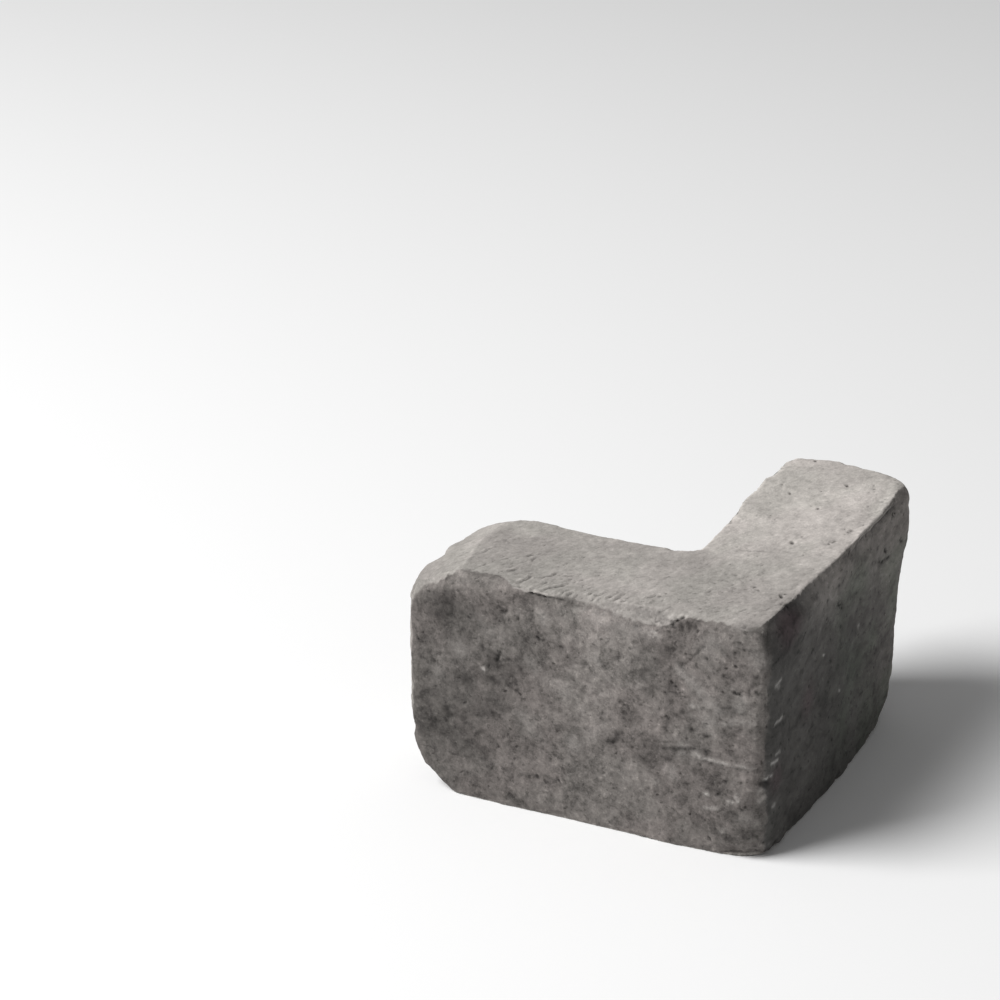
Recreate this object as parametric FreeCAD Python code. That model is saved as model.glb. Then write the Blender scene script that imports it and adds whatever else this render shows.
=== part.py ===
import FreeCAD, Part
import math
import os

# Stone cladding corner piece: one cast block, L-shaped in plan, that wraps the
# outside corner of a wall.  Millimetres, +Z up.
#
# The block is worked out in a setting-out frame whose Z line is the wall's own
# corner: leg A runs along -X with its back on the plane y = 0, leg B runs along
# +Y with its back on the plane x = 0, and the open quadrant x < 0, y > 0 is
# where the wall stands.  At the end it moves to the row's frame, with the
# origin under the middle of the block.

# ---- driving dimensions -------------------------------------------------
HEIGHT = 83.0          # bed to top, at the corner
THICK_A = 52.0         # wall thickness of leg A, back to outer face
THICK_B = 47.0         # wall thickness of leg B
END_A = 83.7           # from the wall's corner to the end of leg A
END_B = 81.5           # from the wall's corner to the end of leg B, outer side
INNER_R = 4.0          # rounding of the inner vertical corner
EDGE_R = 3.3           # typical rounding of the long outer edges
FACET_LEN = 20.0       # sloping facet worn off the top of leg A's end: length
FACET_DROP = 6.6       # ... and how far it falls
LOW_A = (28.0, 26.0)   # rounded lower corner of leg A's end: length, height
LOW_B = (22.0, 20.0)   # rounded lower corner of leg B's end: length, height
TAIL_B = (52.0, 8.0)   # longer, shallower lift of leg B's bed before that corner
RELIEF_FACE = 1.15     # hand-dressed unevenness of the outer faces, plus or minus
RELIEF_TOP = 0.45      # the same on the top face
SKIN_BACK = 3.0        # how far the cast skin starts behind the back planes
SKIN_BED = 3.0         # ... and below the bed
FAN = 8.0              # centre of the corner's fan of sections, at (-FAN, FAN)
ORIGIN = (-17.634, 18.674)   # middle of the block in plan, in the setting-out frame

BED_Z = -3.0
TOP_Z = BED_Z + HEIGHT


# ---- small helpers ------------------------------------------------------
def clamp(t, a=0.0, b=1.0):
    return a if t < a else b if t > b else t


def smooth(t):
    t = clamp(t)
    return t * t * (3.0 - 2.0 * t)


def quarter(t):
    # 1 at t = 0 falling to 0 at t = 1 along a quarter circle
    t = clamp(t)
    return 1.0 - math.sqrt(max(0.0, 1.0 - (1.0 - t) ** 2))


def bump(v, c, w):
    return math.exp(-((v - c) / w) ** 2)


def lattice(i, j, k):
    # a fixed unit vector for each whole-numbered lattice point
    h = (i * 374761393 + j * 668265263 + k * 2147483647 + 1013904223) & 0xFFFFFFFF
    h = ((h ^ (h >> 13)) * 1274126177) & 0xFFFFFFFF
    h ^= h >> 16
    a = (h & 0xFFFF) / 65536.0 * 2.0 * math.pi
    z = ((h >> 16) & 0xFFFF) / 32768.0 - 1.0
    s = math.sqrt(max(0.0, 1.0 - z * z))
    return s * math.cos(a), s * math.sin(a), z


def ripple(x, y, z):
    # smooth random field, about -0.7 to 0.7, one swell per unit
    i, j, k = math.floor(x), math.floor(y), math.floor(z)
    fx, fy, fz = x - i, y - j, z - k
    u, v, w = (t * t * t * (t * (6.0 * t - 15.0) + 10.0) for t in (fx, fy, fz))
    total = 0.0
    for a in (0, 1):
        for b in (0, 1):
            for c in (0, 1):
                g = lattice(i + a, j + b, k + c)
                d = g[0] * (fx - a) + g[1] * (fy - b) + g[2] * (fz - c)
                total += d * (u if a else 1 - u) * (v if b else 1 - v) * (w if c else 1 - w)
    return total


# ---- sections along the L ----------------------------------------------
# distances from an end at which a leg has a section, and the angles of the
# sections that turn the corner
STEPS = (0.0, 0.8, 2.2, 4.5, 7.5, 11.5, 16.0, 21.5, 28.0, 35.0, 42.0, 49.0, 56.0, 63.0, 70.0)
TURN = (0, 7, 14, 21, 27, 32, 36, 39, 42, 45, 48, 51, 54, 58, 63, 69, 76, 83, 90)


def stations():
    out = [("A", -END_A + d, d) for d in STEPS if -END_A + d < -FAN - 2]
    out += [("F", a, None) for a in TURN]
    out += [("B", END_B - d, d) for d in reversed(STEPS) if END_B - d > FAN + 2]
    return out


# the closed section: up the back, over the top, down the outer face, back
# under the bed.  Each list gives distances from the nearest edge.
BACK_UP = (3.0, 14.0, 30.0, 48.0, 64.0)
TOP_IN = (2.5, 6.5, 12.0, 18.0, 25.0, 32.0)
TOP_OUT = (17.0, 11.5, 7.0, 3.5)
OUT_TOP = (3.5, 7.5, 13.0, 20.0, 28.0, 36.0)
OUT_BOT = (30.0, 22.0, 15.0, 9.0, 4.0)
BOT_OUT = (4.0, 9.0, 16.0, 25.0)
BOT_IN = (27.0, 18.0, 10.0, 3.0)


def ease(r, a):
    # spreads the points of a well-rounded edge, less and less away from it
    return 1.0 + (r - 1.0) * math.exp(-a / 8.0)


def section(nb, no, zb, zt, rt, rb):
    # nb, no: back and outer skin; zb, zt: under and top; rt, rb: how rounded
    # the top and bottom outer edges are.  Returns (n, z, face weight, top weight)
    kw, kh = (no - nb) / 58.0, (zt - zb) / 86.0
    c = 0.9 * EDGE_R / 3.0
    pts = [(nb, zb + b * kh, 0.0, 0.0) for b in BACK_UP]
    pts.append((nb + 0.7, zt - 0.7, 0.0, 0.0))
    pts += [(nb + a * kw, zt, 0.0, smooth(a / 12.0)) for a in TOP_IN]
    pts += [(no - a * kw * ease(rt, a), zt - (0.0 if a > 4 else 0.25 * rt),
             smooth((9.0 - a) / 12.0), 1.0) for a in TOP_OUT]
    pts.append((no - c * rt, zt - c * rt, 0.7, 0.6))
    pts += [(no, zt - b * kh * ease(rt, b), 1.0, 0.0) for b in OUT_TOP]
    pts += [(no, zb + b * kh * ease(rb, b), 1.0, 0.0) for b in OUT_BOT]
    pts.append((no - c * rb, zb + c * rb, 0.6, 0.0))
    pts += [(no - a * kw * ease(rb, a), zb, 0.0, 0.0) for a in BOT_OUT]
    pts += [(nb + a * kw, zb, 0.0, 0.0) for a in BOT_IN]
    pts.append((nb + 0.7, zb + 0.7, 0.0, 0.0))
    return pts


def place(kind, val, n, z):
    if kind == "A":
        return (val, -n, z)
    if kind == "B":
        return (n, val, z)
    a = math.radians(val)
    return (-FAN + n * math.sin(a), FAN - n * math.cos(a), z)


def plain_block():
    rows, weights = [], []
    for kind, val, d in stations():
        nb, zb, zt, rt, rb = -SKIN_BACK, BED_Z - SKIN_BED, TOP_Z, 1.1, 1.0
        if kind == "A":
            no = THICK_A
            zb += LOW_A[1] * quarter(d / LOW_A[0])
            zt -= FACET_DROP * clamp(1.0 - d / FACET_LEN) ** 1.1
            e = quarter(d / 5.0)
            no, nb, zb, zt = no - 3.5 * e, nb + 4.5 * e, zb + 2.0 * e, zt - 1.0 * e
            rt = 1.1 + 1.3 * smooth((24.0 - d) / 24.0) + 0.5 * bump(val, -8.0, 14.0)
        elif kind == "B":
            no = THICK_B
            zb += LOW_B[1] * quarter(d / LOW_B[0]) + TAIL_B[1] * smooth((TAIL_B[0] - d) / TAIL_B[0]) ** 2
            e = quarter(d / 7.0)
            no, nb, zb, zt = no - 5.0 * e, nb + 4.5 * e, zb + 2.0 * e, zt - 2.0 * e
            rt = 1.3
        else:
            a = math.radians(val)
            nb = FAN - SKIN_BACK
            ra = (THICK_A + FAN) / math.cos(a) if val < 89 else 1e9
            rx = (THICK_B + FAN) / math.sin(a) if val > 1 else 1e9
            no = (ra ** -22.0 + rx ** -22.0) ** (-1.0 / 22.0)
            rt = 1.1 + 0.5 * smooth(val / 30.0)
            rb = 1.0 + 1.2 * bump(val, 46.0, 12.0)
        sec = section(nb, no, zb, zt, rt, rb)
        rows.append([place(kind, val, p[0], p[1]) for p in sec])
        weights.append([(p[2], p[3]) for p in sec])
    return rows, weights


# ---- how the worn piece departs from the plain block --------------------
# a point of the plain block, and how far the real outline lies from it
DEPARTURES = [
    # leg B's top rises towards its far end, which runs out at a slant
    ((0, 20, 80), (0, 0, -0.5)), ((0, 40, 80), (0, 0, 1.2)), ((0, 62, 80), (0, 0, 2.6)),
    ((0, 80, 80), (0, 5.0, 2.6)), ((14, 81, 81), (0, 8.5, 3.0)), ((28, 81, 80), (0, 6.5, 3.2)),
    ((40, 81, 80), (0, 4.0, 3.0)), ((47, 78, 79), (0.6, 1.5, 2.6)), ((47, 60, 80), (0, 0, 2.5)),
    ((47, 38, 80), (0, 0, 2.0)), ((47, 15, 80), (0, 0, 1.2)), ((22, 40, 80), (0, 0, 1.0)),
    ((22, 62, 80), (0, 0, 2.0)),
    # leg B's end leans in below
    ((45, 81, 65), (0.6, 4.8, 0)), ((46, 80, 48), (0.5, 0.5, 0)), ((46, 80, 28), (0, -4.0, 0)),
    ((46, 76, 12), (0, -3.0, 0)), ((10, 81, 50), (0, 5.0, 0)), ((10, 80, 20), (0, 2.0, 0)),
    # leg B's outer face swells low down
    ((47, 40, 2), (1.7, 0, 0)), ((47, 10, 2), (2.0, 0, 0)), ((47, -15, 2), (2.0, 0, 0)),
    ((47, 15, 25), (0.8, 0, 0)),
    # leg A's top dips along the wall and at the inner corner, and the end's
    # outer top corner is knocked down
    ((-60, -1, 80), (0, 0, -0.6)), ((-40, -1, 80), (0, 0, -1.2)), ((-20, -1, 80), (0, 0, -1.1)),
    ((-3, -3, 80), (0, 0, -1.5)), ((-83, -28, 75), (0, 0, 1.4)), ((-80, -4, 74), (0, 0, -1.6)),
    ((-82, -50, 68), (0, 0, -0.5)), ((-83, -25, 40), (0, 0, 0)),
]
REACH = 45.0


def kernel(d):
    r = d / REACH
    return (1.0 - r) ** 4 * (4.0 * r + 1.0) if r < 1.0 else 0.0


def solve(a, b):
    n, m = len(a), len(b[0])
    t = [list(a[i]) + list(b[i]) for i in range(n)]
    for c in range(n):
        p = max(range(c, n), key=lambda r: abs(t[r][c]))
        t[c], t[p] = t[p], t[c]
        for r in range(n):
            if r != c and t[r][c]:
                f = t[r][c] / t[c][c]
                for k in range(c, n + m):
                    t[r][k] -= f * t[c][k]
    return [[t[i][n + k] / t[i][i] for k in range(m)] for i in range(n)]


def depart(rows):
    centres = [a[0] for a in DEPARTURES]
    a = [[kernel(math.dist(p, q)) + (1e-6 if p is q else 0.0) for q in centres] for p in centres]
    w = solve(a, [d[1] for d in DEPARTURES])
    out = []
    for row in rows:
        new = []
        for p in row:
            s = [0.0, 0.0, 0.0]
            for q, wq in zip(centres, w):
                k = kernel(math.dist(p, q))
                if k:
                    s = [s[c] + k * wq[c] for c in range(3)]
            new.append((p[0] + s[0], p[1] + s[1], p[2] + s[2]))
        out.append(new)
    return out


def relief(rows, weights):
    nv, nu = len(rows), len(rows[0])
    out = []
    for i in range(nv):
        new = []
        for j in range(nu):
            p = rows[i][j]
            wf, wt = weights[i][j]
            if wf or wt:
                a, b = rows[max(0, i - 1)][j], rows[min(nv - 1, i + 1)][j]
                c, d = rows[i][(j - 1) % nu], rows[i][(j + 1) % nu]
                e = [b[k] - a[k] for k in range(3)]
                f = [d[k] - c[k] for k in range(3)]
                n = (f[1] * e[2] - f[2] * e[1], f[2] * e[0] - f[0] * e[2], f[0] * e[1] - f[1] * e[0])
                ln = math.sqrt(n[0] ** 2 + n[1] ** 2 + n[2] ** 2) or 1.0
                x, y, z = p
                big = ripple(x / 34.0 + 3.1, y / 34.0 + 7.7, z / 27.0 + 1.3)
                mid = ripple(x / 15.0 + 11.9, y / 15.0 + 2.4, z / 13.0 + 5.6)
                h = (big + 0.55 * mid) * 1.6
                amp = wf * RELIEF_FACE * h + wt * (1.0 - 0.6 * wf) * RELIEF_TOP * h
                amp = amp - 0.35 * (wf * RELIEF_FACE)
                p = tuple(p[k] + n[k] / ln * amp for k in range(3))
            new.append(p)
        out.append(new)
    return out


def flatten(rows, end, axis):
    # bring an end ring onto its own best plane, axis = u0 + u1*s + u2*z, and
    # ease the sections next to it the same way
    step = 1 if end == 0 else -1
    ring = rows[end]
    other = 1 - axis
    ata = [[0.0] * 3 for _ in range(3)]
    atb = [[0.0] for _ in range(3)]
    for p in ring:
        r = (1.0, p[other], p[2])
        for a in range(3):
            atb[a][0] += r[a] * p[axis]
            for b in range(3):
                ata[a][b] += r[a] * r[b]
    u = [v[0] for v in solve(ata, atb)]
    shift = [u[0] + u[1] * p[other] + u[2] * p[2] - p[axis] for p in ring]
    for k in range(8):
        share = 1.0 - smooth(STEPS[k] / 18.0)
        i = end + k * step
        row = []
        for p, d in zip(rows[i], shift):
            q = list(p)
            q[axis] += d * share
            row.append(tuple(q))
        rows[i] = row


# ---- the solid ----------------------------------------------------------
def make_skin(rows):
    nv, nu = len(rows), len(rows[0])
    poles = [[FreeCAD.Vector(*rows[i][j]) for i in range(nv)] for j in range(nu)]
    surf = Part.BSplineSurface()
    uk = [float(i) for i in range(nu + 1)]
    um = [1] * (nu + 1)
    vk = [float(i) for i in range(nv - 2)]
    vm = [4] + [1] * (nv - 4) + [4]
    surf.buildFromPolesMultsKnots(poles, um, vm, uk, vk, True, False, 3, 3)
    side = surf.toShape()
    rims = [e for e in side.Edges if not e.isSeam(side)]
    caps = [Part.Face(Part.Wire([e])) for e in rims]
    shell = Part.makeShell([side] + caps)
    solid = Part.makeSolid(shell)
    solid.fix(1e-6, 1e-6, 1e-4)
    if solid.Volume < 0:
        solid.reverse()
    return solid


rows, weights = plain_block()
rows = depart(rows)
rows = relief(rows, weights)
flatten(rows, 0, 0)
flatten(rows, len(rows) - 1, 1)
skin = make_skin(rows)
print("skin valid", skin.isValid(), "volume", round(skin.Volume / 1000.0, 1), "cm3")

# the wall's own corner, a square prism with a rounded edge, and the bed plane
wall = Part.makeBox(300, 300, 300, FreeCAD.Vector(-300, 0, -100))
corner = [e for e in wall.Edges
          if abs(e.Vertexes[0].X) < 1e-6 and abs(e.Vertexes[1].X) < 1e-6
          and abs(e.Vertexes[0].Y) < 1e-6 and abs(e.Vertexes[1].Y) < 1e-6]
wall = wall.makeFillet(INNER_R, corner)
ground = Part.makeBox(600, 600, 60, FreeCAD.Vector(-300, -300, BED_Z - 60))
stone = skin.cut(wall).cut(ground)
stone = stone.Solids[0] if len(stone.Solids) == 1 else stone

stone.translate(FreeCAD.Vector(-ORIGIN[0], -ORIGIN[1], -BED_Z))
b = stone.optimalBoundingBox(False, False)
print("solids", len(stone.Solids), "valid", stone.isValid(), "volume", round(stone.Volume / 1000.0, 2), "cm3")
print("box", [round(v, 3) for v in (b.XMin, b.YMin, b.ZMin, b.XMax, b.YMax, b.ZMax)])
print("box middle in the setting-out frame",
      round((b.XMin + b.XMax) / 2 + ORIGIN[0], 3), round((b.YMin + b.YMax) / 2 + ORIGIN[1], 3))
for f in stone.Faces:
    if isinstance(f.Surface, Part.Plane):
        c = f.CenterOfMass
        n = f.normalAt(0, 0)
        print("plane", [round(v, 2) for v in c], [round(v, 3) for v in n], "area", round(f.Area))

os.makedirs("parts", exist_ok=True)
stone.exportStep("parts/corner_stone.step")
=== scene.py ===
import math

import bpy
import numpy as np
from mathutils import Matrix, Vector
from mathutils.kdtree import KDTree


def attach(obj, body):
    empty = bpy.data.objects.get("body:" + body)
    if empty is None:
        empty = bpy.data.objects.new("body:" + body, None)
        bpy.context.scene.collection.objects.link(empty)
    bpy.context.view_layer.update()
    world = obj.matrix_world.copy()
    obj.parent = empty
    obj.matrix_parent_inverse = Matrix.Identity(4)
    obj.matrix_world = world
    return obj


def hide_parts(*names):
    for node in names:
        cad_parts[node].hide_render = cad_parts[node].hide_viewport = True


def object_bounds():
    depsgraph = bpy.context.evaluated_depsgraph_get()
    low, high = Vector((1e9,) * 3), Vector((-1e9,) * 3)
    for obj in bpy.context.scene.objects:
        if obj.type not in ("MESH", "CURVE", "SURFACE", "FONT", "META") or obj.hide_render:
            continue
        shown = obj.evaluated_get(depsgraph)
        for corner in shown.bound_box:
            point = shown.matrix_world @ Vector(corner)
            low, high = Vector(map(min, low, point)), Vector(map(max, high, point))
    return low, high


# One cast cladding corner stone.  The solid comes from the frame; here its skin
# gets the grain, tool drags, chips, pinholes and wear of the real surface, and
# a stone material.  Lengths in the sculpting part are millimetres.

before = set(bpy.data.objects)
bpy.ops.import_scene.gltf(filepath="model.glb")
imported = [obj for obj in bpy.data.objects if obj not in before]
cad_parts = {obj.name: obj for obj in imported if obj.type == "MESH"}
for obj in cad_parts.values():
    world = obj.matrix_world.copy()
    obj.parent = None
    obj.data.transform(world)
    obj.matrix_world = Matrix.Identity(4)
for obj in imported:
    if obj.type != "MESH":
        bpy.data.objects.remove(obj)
cad_lo, cad_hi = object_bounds()
scene = bpy.context.scene

BACK_A_Y = -18.674      # plane of leg A's back
BACK_B_X = 17.634       # plane of leg B's back
VOXEL = 0.52
MAX_TRIS = 195000

# Marks on the outside of the stone: from, to, radius, tone (dark below zero,
# pale above), depth (raised below zero).
MARKS = [
    (32.4, -70.6, 71.4, 32.4, -70.6, 71.4, 0.9, -0.8, 0.4), (38.6, -70.7, 71.0, 37.5, -70.7, 70.3, 0.9, -0.7, 0.2), (44.2, -70.5, 70.6, 44.2, -70.5, 70.6, 0.7, -0.8, 0.3),
    (35.8, -70.8, 66.8, 36.1, -70.8, 67.6, 0.9, -0.6, 0.1), (53.0, -69.7, 77.8, 55.3, -69.5, 78.0, 0.8, -0.7, 0.2), (54.6, -69.7, 75.1, 54.3, -69.8, 74.7, 1, -0.9, 0.4),
    (56.7, -69.5, 76.0, 56.7, -69.5, 76.0, 0.7, -0.8, 0.3), (54.0, -69.9, 71.4, 54.0, -69.9, 71.4, 0.7, -0.6, 0.2), (50.5, -70.2, 66.2, 50.2, -70.3, 65.3, 1, -0.7, 0.2),
    (50.2, -70.6, 60.2, 50.2, -70.6, 60.2, 0.7, -1, 0.5), (54.4, -70.4, 60.5, 56.2, -70.3, 60.0, 0.7, -1, 0.5), (32.4, -70.9, 60.0, 34.1, -70.9, 58.3, 0.9, -0.9, 0.4),
    (32.1, -70.9, 59.1, 30.8, -70.7, 57.2, 0.8, -0.6, 0.2), (29.8, -70.6, 55.4, 29.8, -70.6, 55.4, 1, -0.7, 0.3), (40.3, -70.9, 58.4, 40.3, -70.9, 58.1, 1, -0.5, 0.2),
    (26.9, -70.3, 47.1, 27.3, -70.3, 46.9, 0.8, -0.6, 0.2), (61.4, -68.9, 61.5, 61.6, -68.8, 61.0, 0.9, -0.6, 0.2), (61.7, -68.6, 64.7, 61.9, -68.5, 64.5, 0.9, -0.7, 0.2),
    (63.1, -66.4, 55.7, 63.1, -66.4, 54.9, 0.9, -0.7, 0.2), (50.2, -70.7, 54.0, 53.3, -70.6, 55.0, 0.6, -0.6, 0.2), (39.5, -70.5, 44.3, 39.7, -70.5, 44.0, 1, -0.7, 0.2),
    (30.3, -70.2, 41.7, 30.3, -70.2, 41.4, 1.1, -0.7, 0.2), (55.9, -70.1, 47.4, 56.2, -70.1, 47.5, 0.9, -0.5, 0.1), (33.0, -70.5, 48.3, 31.1, -70.4, 45.9, 1.1, -0.45, 0.1),
    (31.1, -70.4, 45.9, 30.3, -70.3, 42.5, 1.1, -0.4, 0.1), (62.7, -67.4, 68.5, 61.3, -68.9, 65.7, 1.2, -0.45, 0.15), (61.3, -68.9, 65.7, 58.8, -69.9, 61.6, 1.1, -0.42, 0.15),
    (58.8, -69.9, 61.6, 56.2, -70.3, 60.2, 1.0, -0.45, 0.15), (18.7, -70.5, 71.3, 18.9, -70.5, 71.3, 0.9, -0.6, 0.2), (46.5, -68.7, 81.0, 47.0, -68.9, 80.8, 0.8, -0.7, 0.2),
    (48.2, -69.3, 80.2, 48.2, -69.3, 80.2, 0.6, -0.6, 0.1), (41.6, -70.1, 79.1, 42.0, -70.2, 78.9, 0.9, -0.5, 0.1), (43.3, -69.3, 80.6, 43.3, -69.3, 80.6, 0.8, -0.4, 0.1),
    (54.4, -66.1, 81.9, 55.1, -65.3, 82.1, 0.8, -0.5, 0.3), (38.9, -68.2, 81.7, 34.4, -70.5, 75.0, 3, -0.45, 0), (34.4, -70.5, 75.0, 28.6, -70.6, 69.8, 3.2, -0.45, 0),
    (26.9, -70.8, 66.3, 24.2, -70.9, 62.5, 3, -0.5, 0), (22.0, -70.8, 60.9, 21.3, -70.7, 59.6, 2.2, -0.5, 0), (25.2, -70.6, 56.5, 24.5, -70.5, 55.2, 2.5, -0.4, 0),
    (22.5, -70.6, 70.0, 27.8, -70.6, 70.4, 2.2, -0.45, 0), (34.8, -70.9, 64.6, 44.5, -70.9, 56.9, 1.8, 0.32, -0.1), (44.5, -70.9, 56.9, 48.4, -70.7, 53.0, 2.2, 0.32, -0.1),
    (61.2, -68.4, 74.4, 61.3, -68.5, 71.9, 2.2, 0.28, 0), (56.8, -70.3, 58.5, 56.6, -70.3, 55.6, 2, 0.35, 0), (45.7, -70.6, 48.8, 45.3, -70.5, 47.4, 2.5, 0.28, 0),
    (52.1, -70.4, 49.8, 61.0, -68.9, 50.7, 0.8, 0.4, -0.15), (39.7, -70.8, 52.8, 41.8, -70.8, 53.1, 0.8, 0.55, -0.1), (46.0, -70.4, 75.9, 43.6, -70.6, 73.7, 3, 0.2, 0),
    (38.8, -70.9, 63.5, 40.9, -70.9, 61.8, 1.4, 0.25, 0), (-51.6, -70.4, 72.7, -49.3, -70.4, 72.5, 3.2, -0.45, 0.1), (-53.8, -69.8, 66.9, -48.4, -70.0, 66.2, 2.5, -0.35, 0.1),
    (-30.6, -70.1, 57.1, -31.5, -70.1, 54.0, 1.5, -0.85, 0.3), (-33.1, -70.1, 55.1, -33.8, -70.2, 52.8, 2, -0.4, 0.1), (-17.1, -70.2, 65.5, -15.2, -70.2, 64.8, 0.9, -0.9, 0.35),
    (-15.2, -70.2, 64.8, -10.8, -70.3, 64.7, 0.6, -0.5, 0.15), (-9.7, -70.3, 64.2, -7.5, -70.3, 63.5, 0.8, -0.6, 0.2), (-21.5, -70.2, 64.6, -21.2, -70.1, 63.1, 1, -0.6, 0.2),
    (-24.9, -70.1, 63.5, -24.5, -70.1, 62.1, 1, -0.6, 0.2), (-23.0, -70.1, 60.2, -22.7, -70.1, 58.8, 1.2, -0.5, 0.1), (-31.3, -70.6, 73.6, -28.4, -70.5, 72.7, 1, -0.85, 0.5),
    (-29.8, -70.6, 75.2, -29.1, -70.6, 75.0, 0.8, -0.5, 0.1), (-28.9, -70.3, 68.6, -28.5, -70.3, 67.9, 0.9, -0.5, 0.1), (-24.0, -70.4, 71.1, -23.6, -70.4, 70.8, 0.8, -0.6, 0.2),
    (-43.1, -70.5, 44.6, -43.0, -70.6, 43.2, 2, -0.65, 0.2), (-46.4, -70.6, 45.0, -45.2, -70.6, 44.2, 2, -0.4, 0.1), (-50.3, -70.7, 32.3, -50.2, -70.7, 30.4, 1.8, -0.75, 0.3),
    (-55.6, -70.5, 26.8, -54.1, -70.5, 26.4, 1.4, -0.6, 0.1), (-44.9, -70.7, 29.7, -43.7, -70.7, 29.6, 1.2, -0.6, 0.1), (-52.7, -70.4, 23.6, -51.9, -70.4, 23.8, 1, -0.5, 0.1),
    (-33.3, -70.3, 46.6, -32.2, -70.3, 46.1, 1.6, -0.65, 0.2), (-28.1, -70.3, 45.9, -27.0, -70.4, 45.8, 1.3, -0.7, 0.2), (-24.3, -70.4, 44.5, -22.1, -70.5, 42.4, 0.8, -0.8, 0.35),
    (-22.6, -70.2, 52.2, -21.8, -70.3, 50.9, 0.9, -0.6, 0.2), (-20.6, -70.5, 39.4, -19.8, -70.5, 38.9, 0.9, -0.4, 0.1), (-28.0, -70.5, 37.8, -27.6, -70.5, 36.0, 1, -0.45, 0.1),
    (-14.8, -70.2, 46.5, -14.4, -70.3, 44.8, 1, -0.7, 0.2), (-16.1, -70.4, 37.4, -15.4, -70.4, 36.5, 1, -0.4, 0.1), (-0.6, -70.1, 56.9, 1.1, -70.3, 59.5, 0.9, -0.42, 0.1),
    (1.1, -70.3, 59.5, 3.3, -70.3, 57.2, 0.8, -0.45, 0.1), (15.5, -70.1, 46.4, 16.2, -70.1, 45.1, 1.5, -0.75, 0.3), (13.3, -70.1, 48.1, 14.4, -70.1, 47.7, 1.3, -0.55, 0.1),
    (13.1, -70.1, 36.0, 11.4, -70.2, 33.0, 1.7, -0.85, 0.3), (7.2, -70.8, 65.4, 10.5, -70.8, 66.4, 1.1, -0.5, 0.15), (4.2, -70.3, 57.6, 4.6, -70.3, 57.0, 0.8, -0.5, 0.1),
    (7.5, -70.4, 55.8, 7.9, -70.3, 55.1, 0.9, -0.4, 0.1), (8.9, -70.7, 69.3, 8.9, -70.7, 69.3, 0.7, -0.5, 0.1), (-13.1, -70.0, 59.7, -13.1, -70.0, 58.9, 0.7, -0.5, 0.1),
    (-2.6, -70.7, 72.4, -1.6, -70.8, 72.6, 0.8, -0.45, 0.1), (-13.8, -70.3, 79.3, -12.2, -70.7, 75.8, 1, -0.4, 0.15), (-38.9, -70.5, 25.3, -37.8, -70.5, 25.9, 1.2, -0.6, 0.1),
    (-43.6, -70.3, 20.7, -42.4, -70.3, 21.0, 1.2, -0.6, 0.1), (-41.7, -70.0, 59.2, -40.9, -70.0, 58.9, 1, -0.5, 0.1), (-37.2, -70.0, 57.5, -36.4, -70.0, 57.3, 0.8, -0.5, 0.1),
    (-48.5, -69.9, 60.7, -48.1, -70.0, 60.0, 0.9, -0.4, 0.1), (-55.9, -70.4, 48.9, -55.1, -70.4, 48.3, 0.9, -0.5, 0.1), (-57.8, -70.6, 37.4, -57.0, -70.6, 36.8, 1, -0.5, 0.1),
    (-47.2, -70.4, 50.7, -46.8, -70.4, 50.1, 0.8, -0.5, 0.1), (-8.2, -70.1, 44.2, -7.8, -70.1, 43.2, 0.9, -0.4, 0.1), (-3.7, -70.1, 37.8, -3.0, -70.1, 37.6, 1, -0.4, 0.1),
    (2.8, -70.0, 44.7, 3.1, -70.0, 43.7, 0.9, -0.4, 0.1), (24.6, -70.1, 38.6, 25.4, -70.1, 38.0, 1, -0.5, 0.1), (6.4, -70.1, 51.0, 6.7, -70.1, 50.8, 0.8, -0.4, 0.1),
    (20.9, -70.2, 50.6, 21.3, -70.2, 49.6, 1.1, -0.5, 0.1), (18.0, -70.5, 56.3, 18.7, -70.4, 55.7, 0.9, -0.4, 0.1), (0.1, -70.0, 49.6, 0.5, -70.0, 49.0, 0.8, -0.4, 0.1),
    (-11.7, -69.9, 55.1, -11.3, -69.9, 54.5, 0.9, -0.4, 0.1), (-5.0, -70.1, 59.6, -4.3, -70.1, 59.4, 0.9, -0.3, 0.1), (-36.6, -70.3, 49.8, -36.3, -70.3, 49.7, 0.75, 0.75, -0.2),
    # the second and third marks here: a lighter band under leg A's top edge, partly the face's own tone, partly painted
    # light on the rounded edge
    (-15.5, -70.6, 74.0, -14.4, -70.5, 72.4, 2, 0.3, 0), (-6.3, -70.7, 77.0, 6.2, -70.5, 76.6, 3.6, 0.22, 0), (6.2, -70.5, 76.6, 22.2, -70.2, 75.5, 3.2, 0.2, 0),
    (5.7, -70.7, 71.5, 6.4, -70.7, 70.9, 1, 0.3, 0), (4.7, -70.7, 62.6, 5.4, -70.6, 61.3, 2, 0.2, 0), (-21.6, -70.5, 34.7, -17.2, -70.4, 29.4, 2.5, 0.18, 0),
    (-3.9, -70.3, 29.6, -2.4, -70.3, 28.1, 2.5, 0.28, 0), (-54.4, -70.5, 45.5, -53.6, -70.5, 43.9, 2, 0.2, 0), (-46.1, -70.2, 55.3, -44.6, -70.2, 54.2, 2.5, 0.2, 0),
    (-13.8, -70.1, 50.4, -6.1, -70.0, 47.6, 3, 0.14, 0), (-37.9, -70.1, 66.6, -34.9, -70.0, 64.3, 2, 0.12, 0), (-19.4, -70.0, 55.8, -17.1, -70.0, 54.0, 2.2, 0.2, 0),
    (7.6, -70.1, 38.4, 2.9, -70.2, 33.7, 3, 0.15, 0), (-49.0, -70.3, 71.0, -41.5, -70.3, 69.6, 6, -0.18, 0), (-52.8, -70.7, 34.7, -37.7, -70.5, 36.1, 8, -0.18, 0),
    (-57.0, -70.2, 22.2, -41.6, -70.4, 22.7, 6, -0.15, 0), (-8.3, -70.0, 47.8, 13.7, -70.1, 41.6, 12, 0.08, 0), (21.1, -70.1, 34.1, 42.6, -70.2, 36.4, 5, -0.18, 0),
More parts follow.
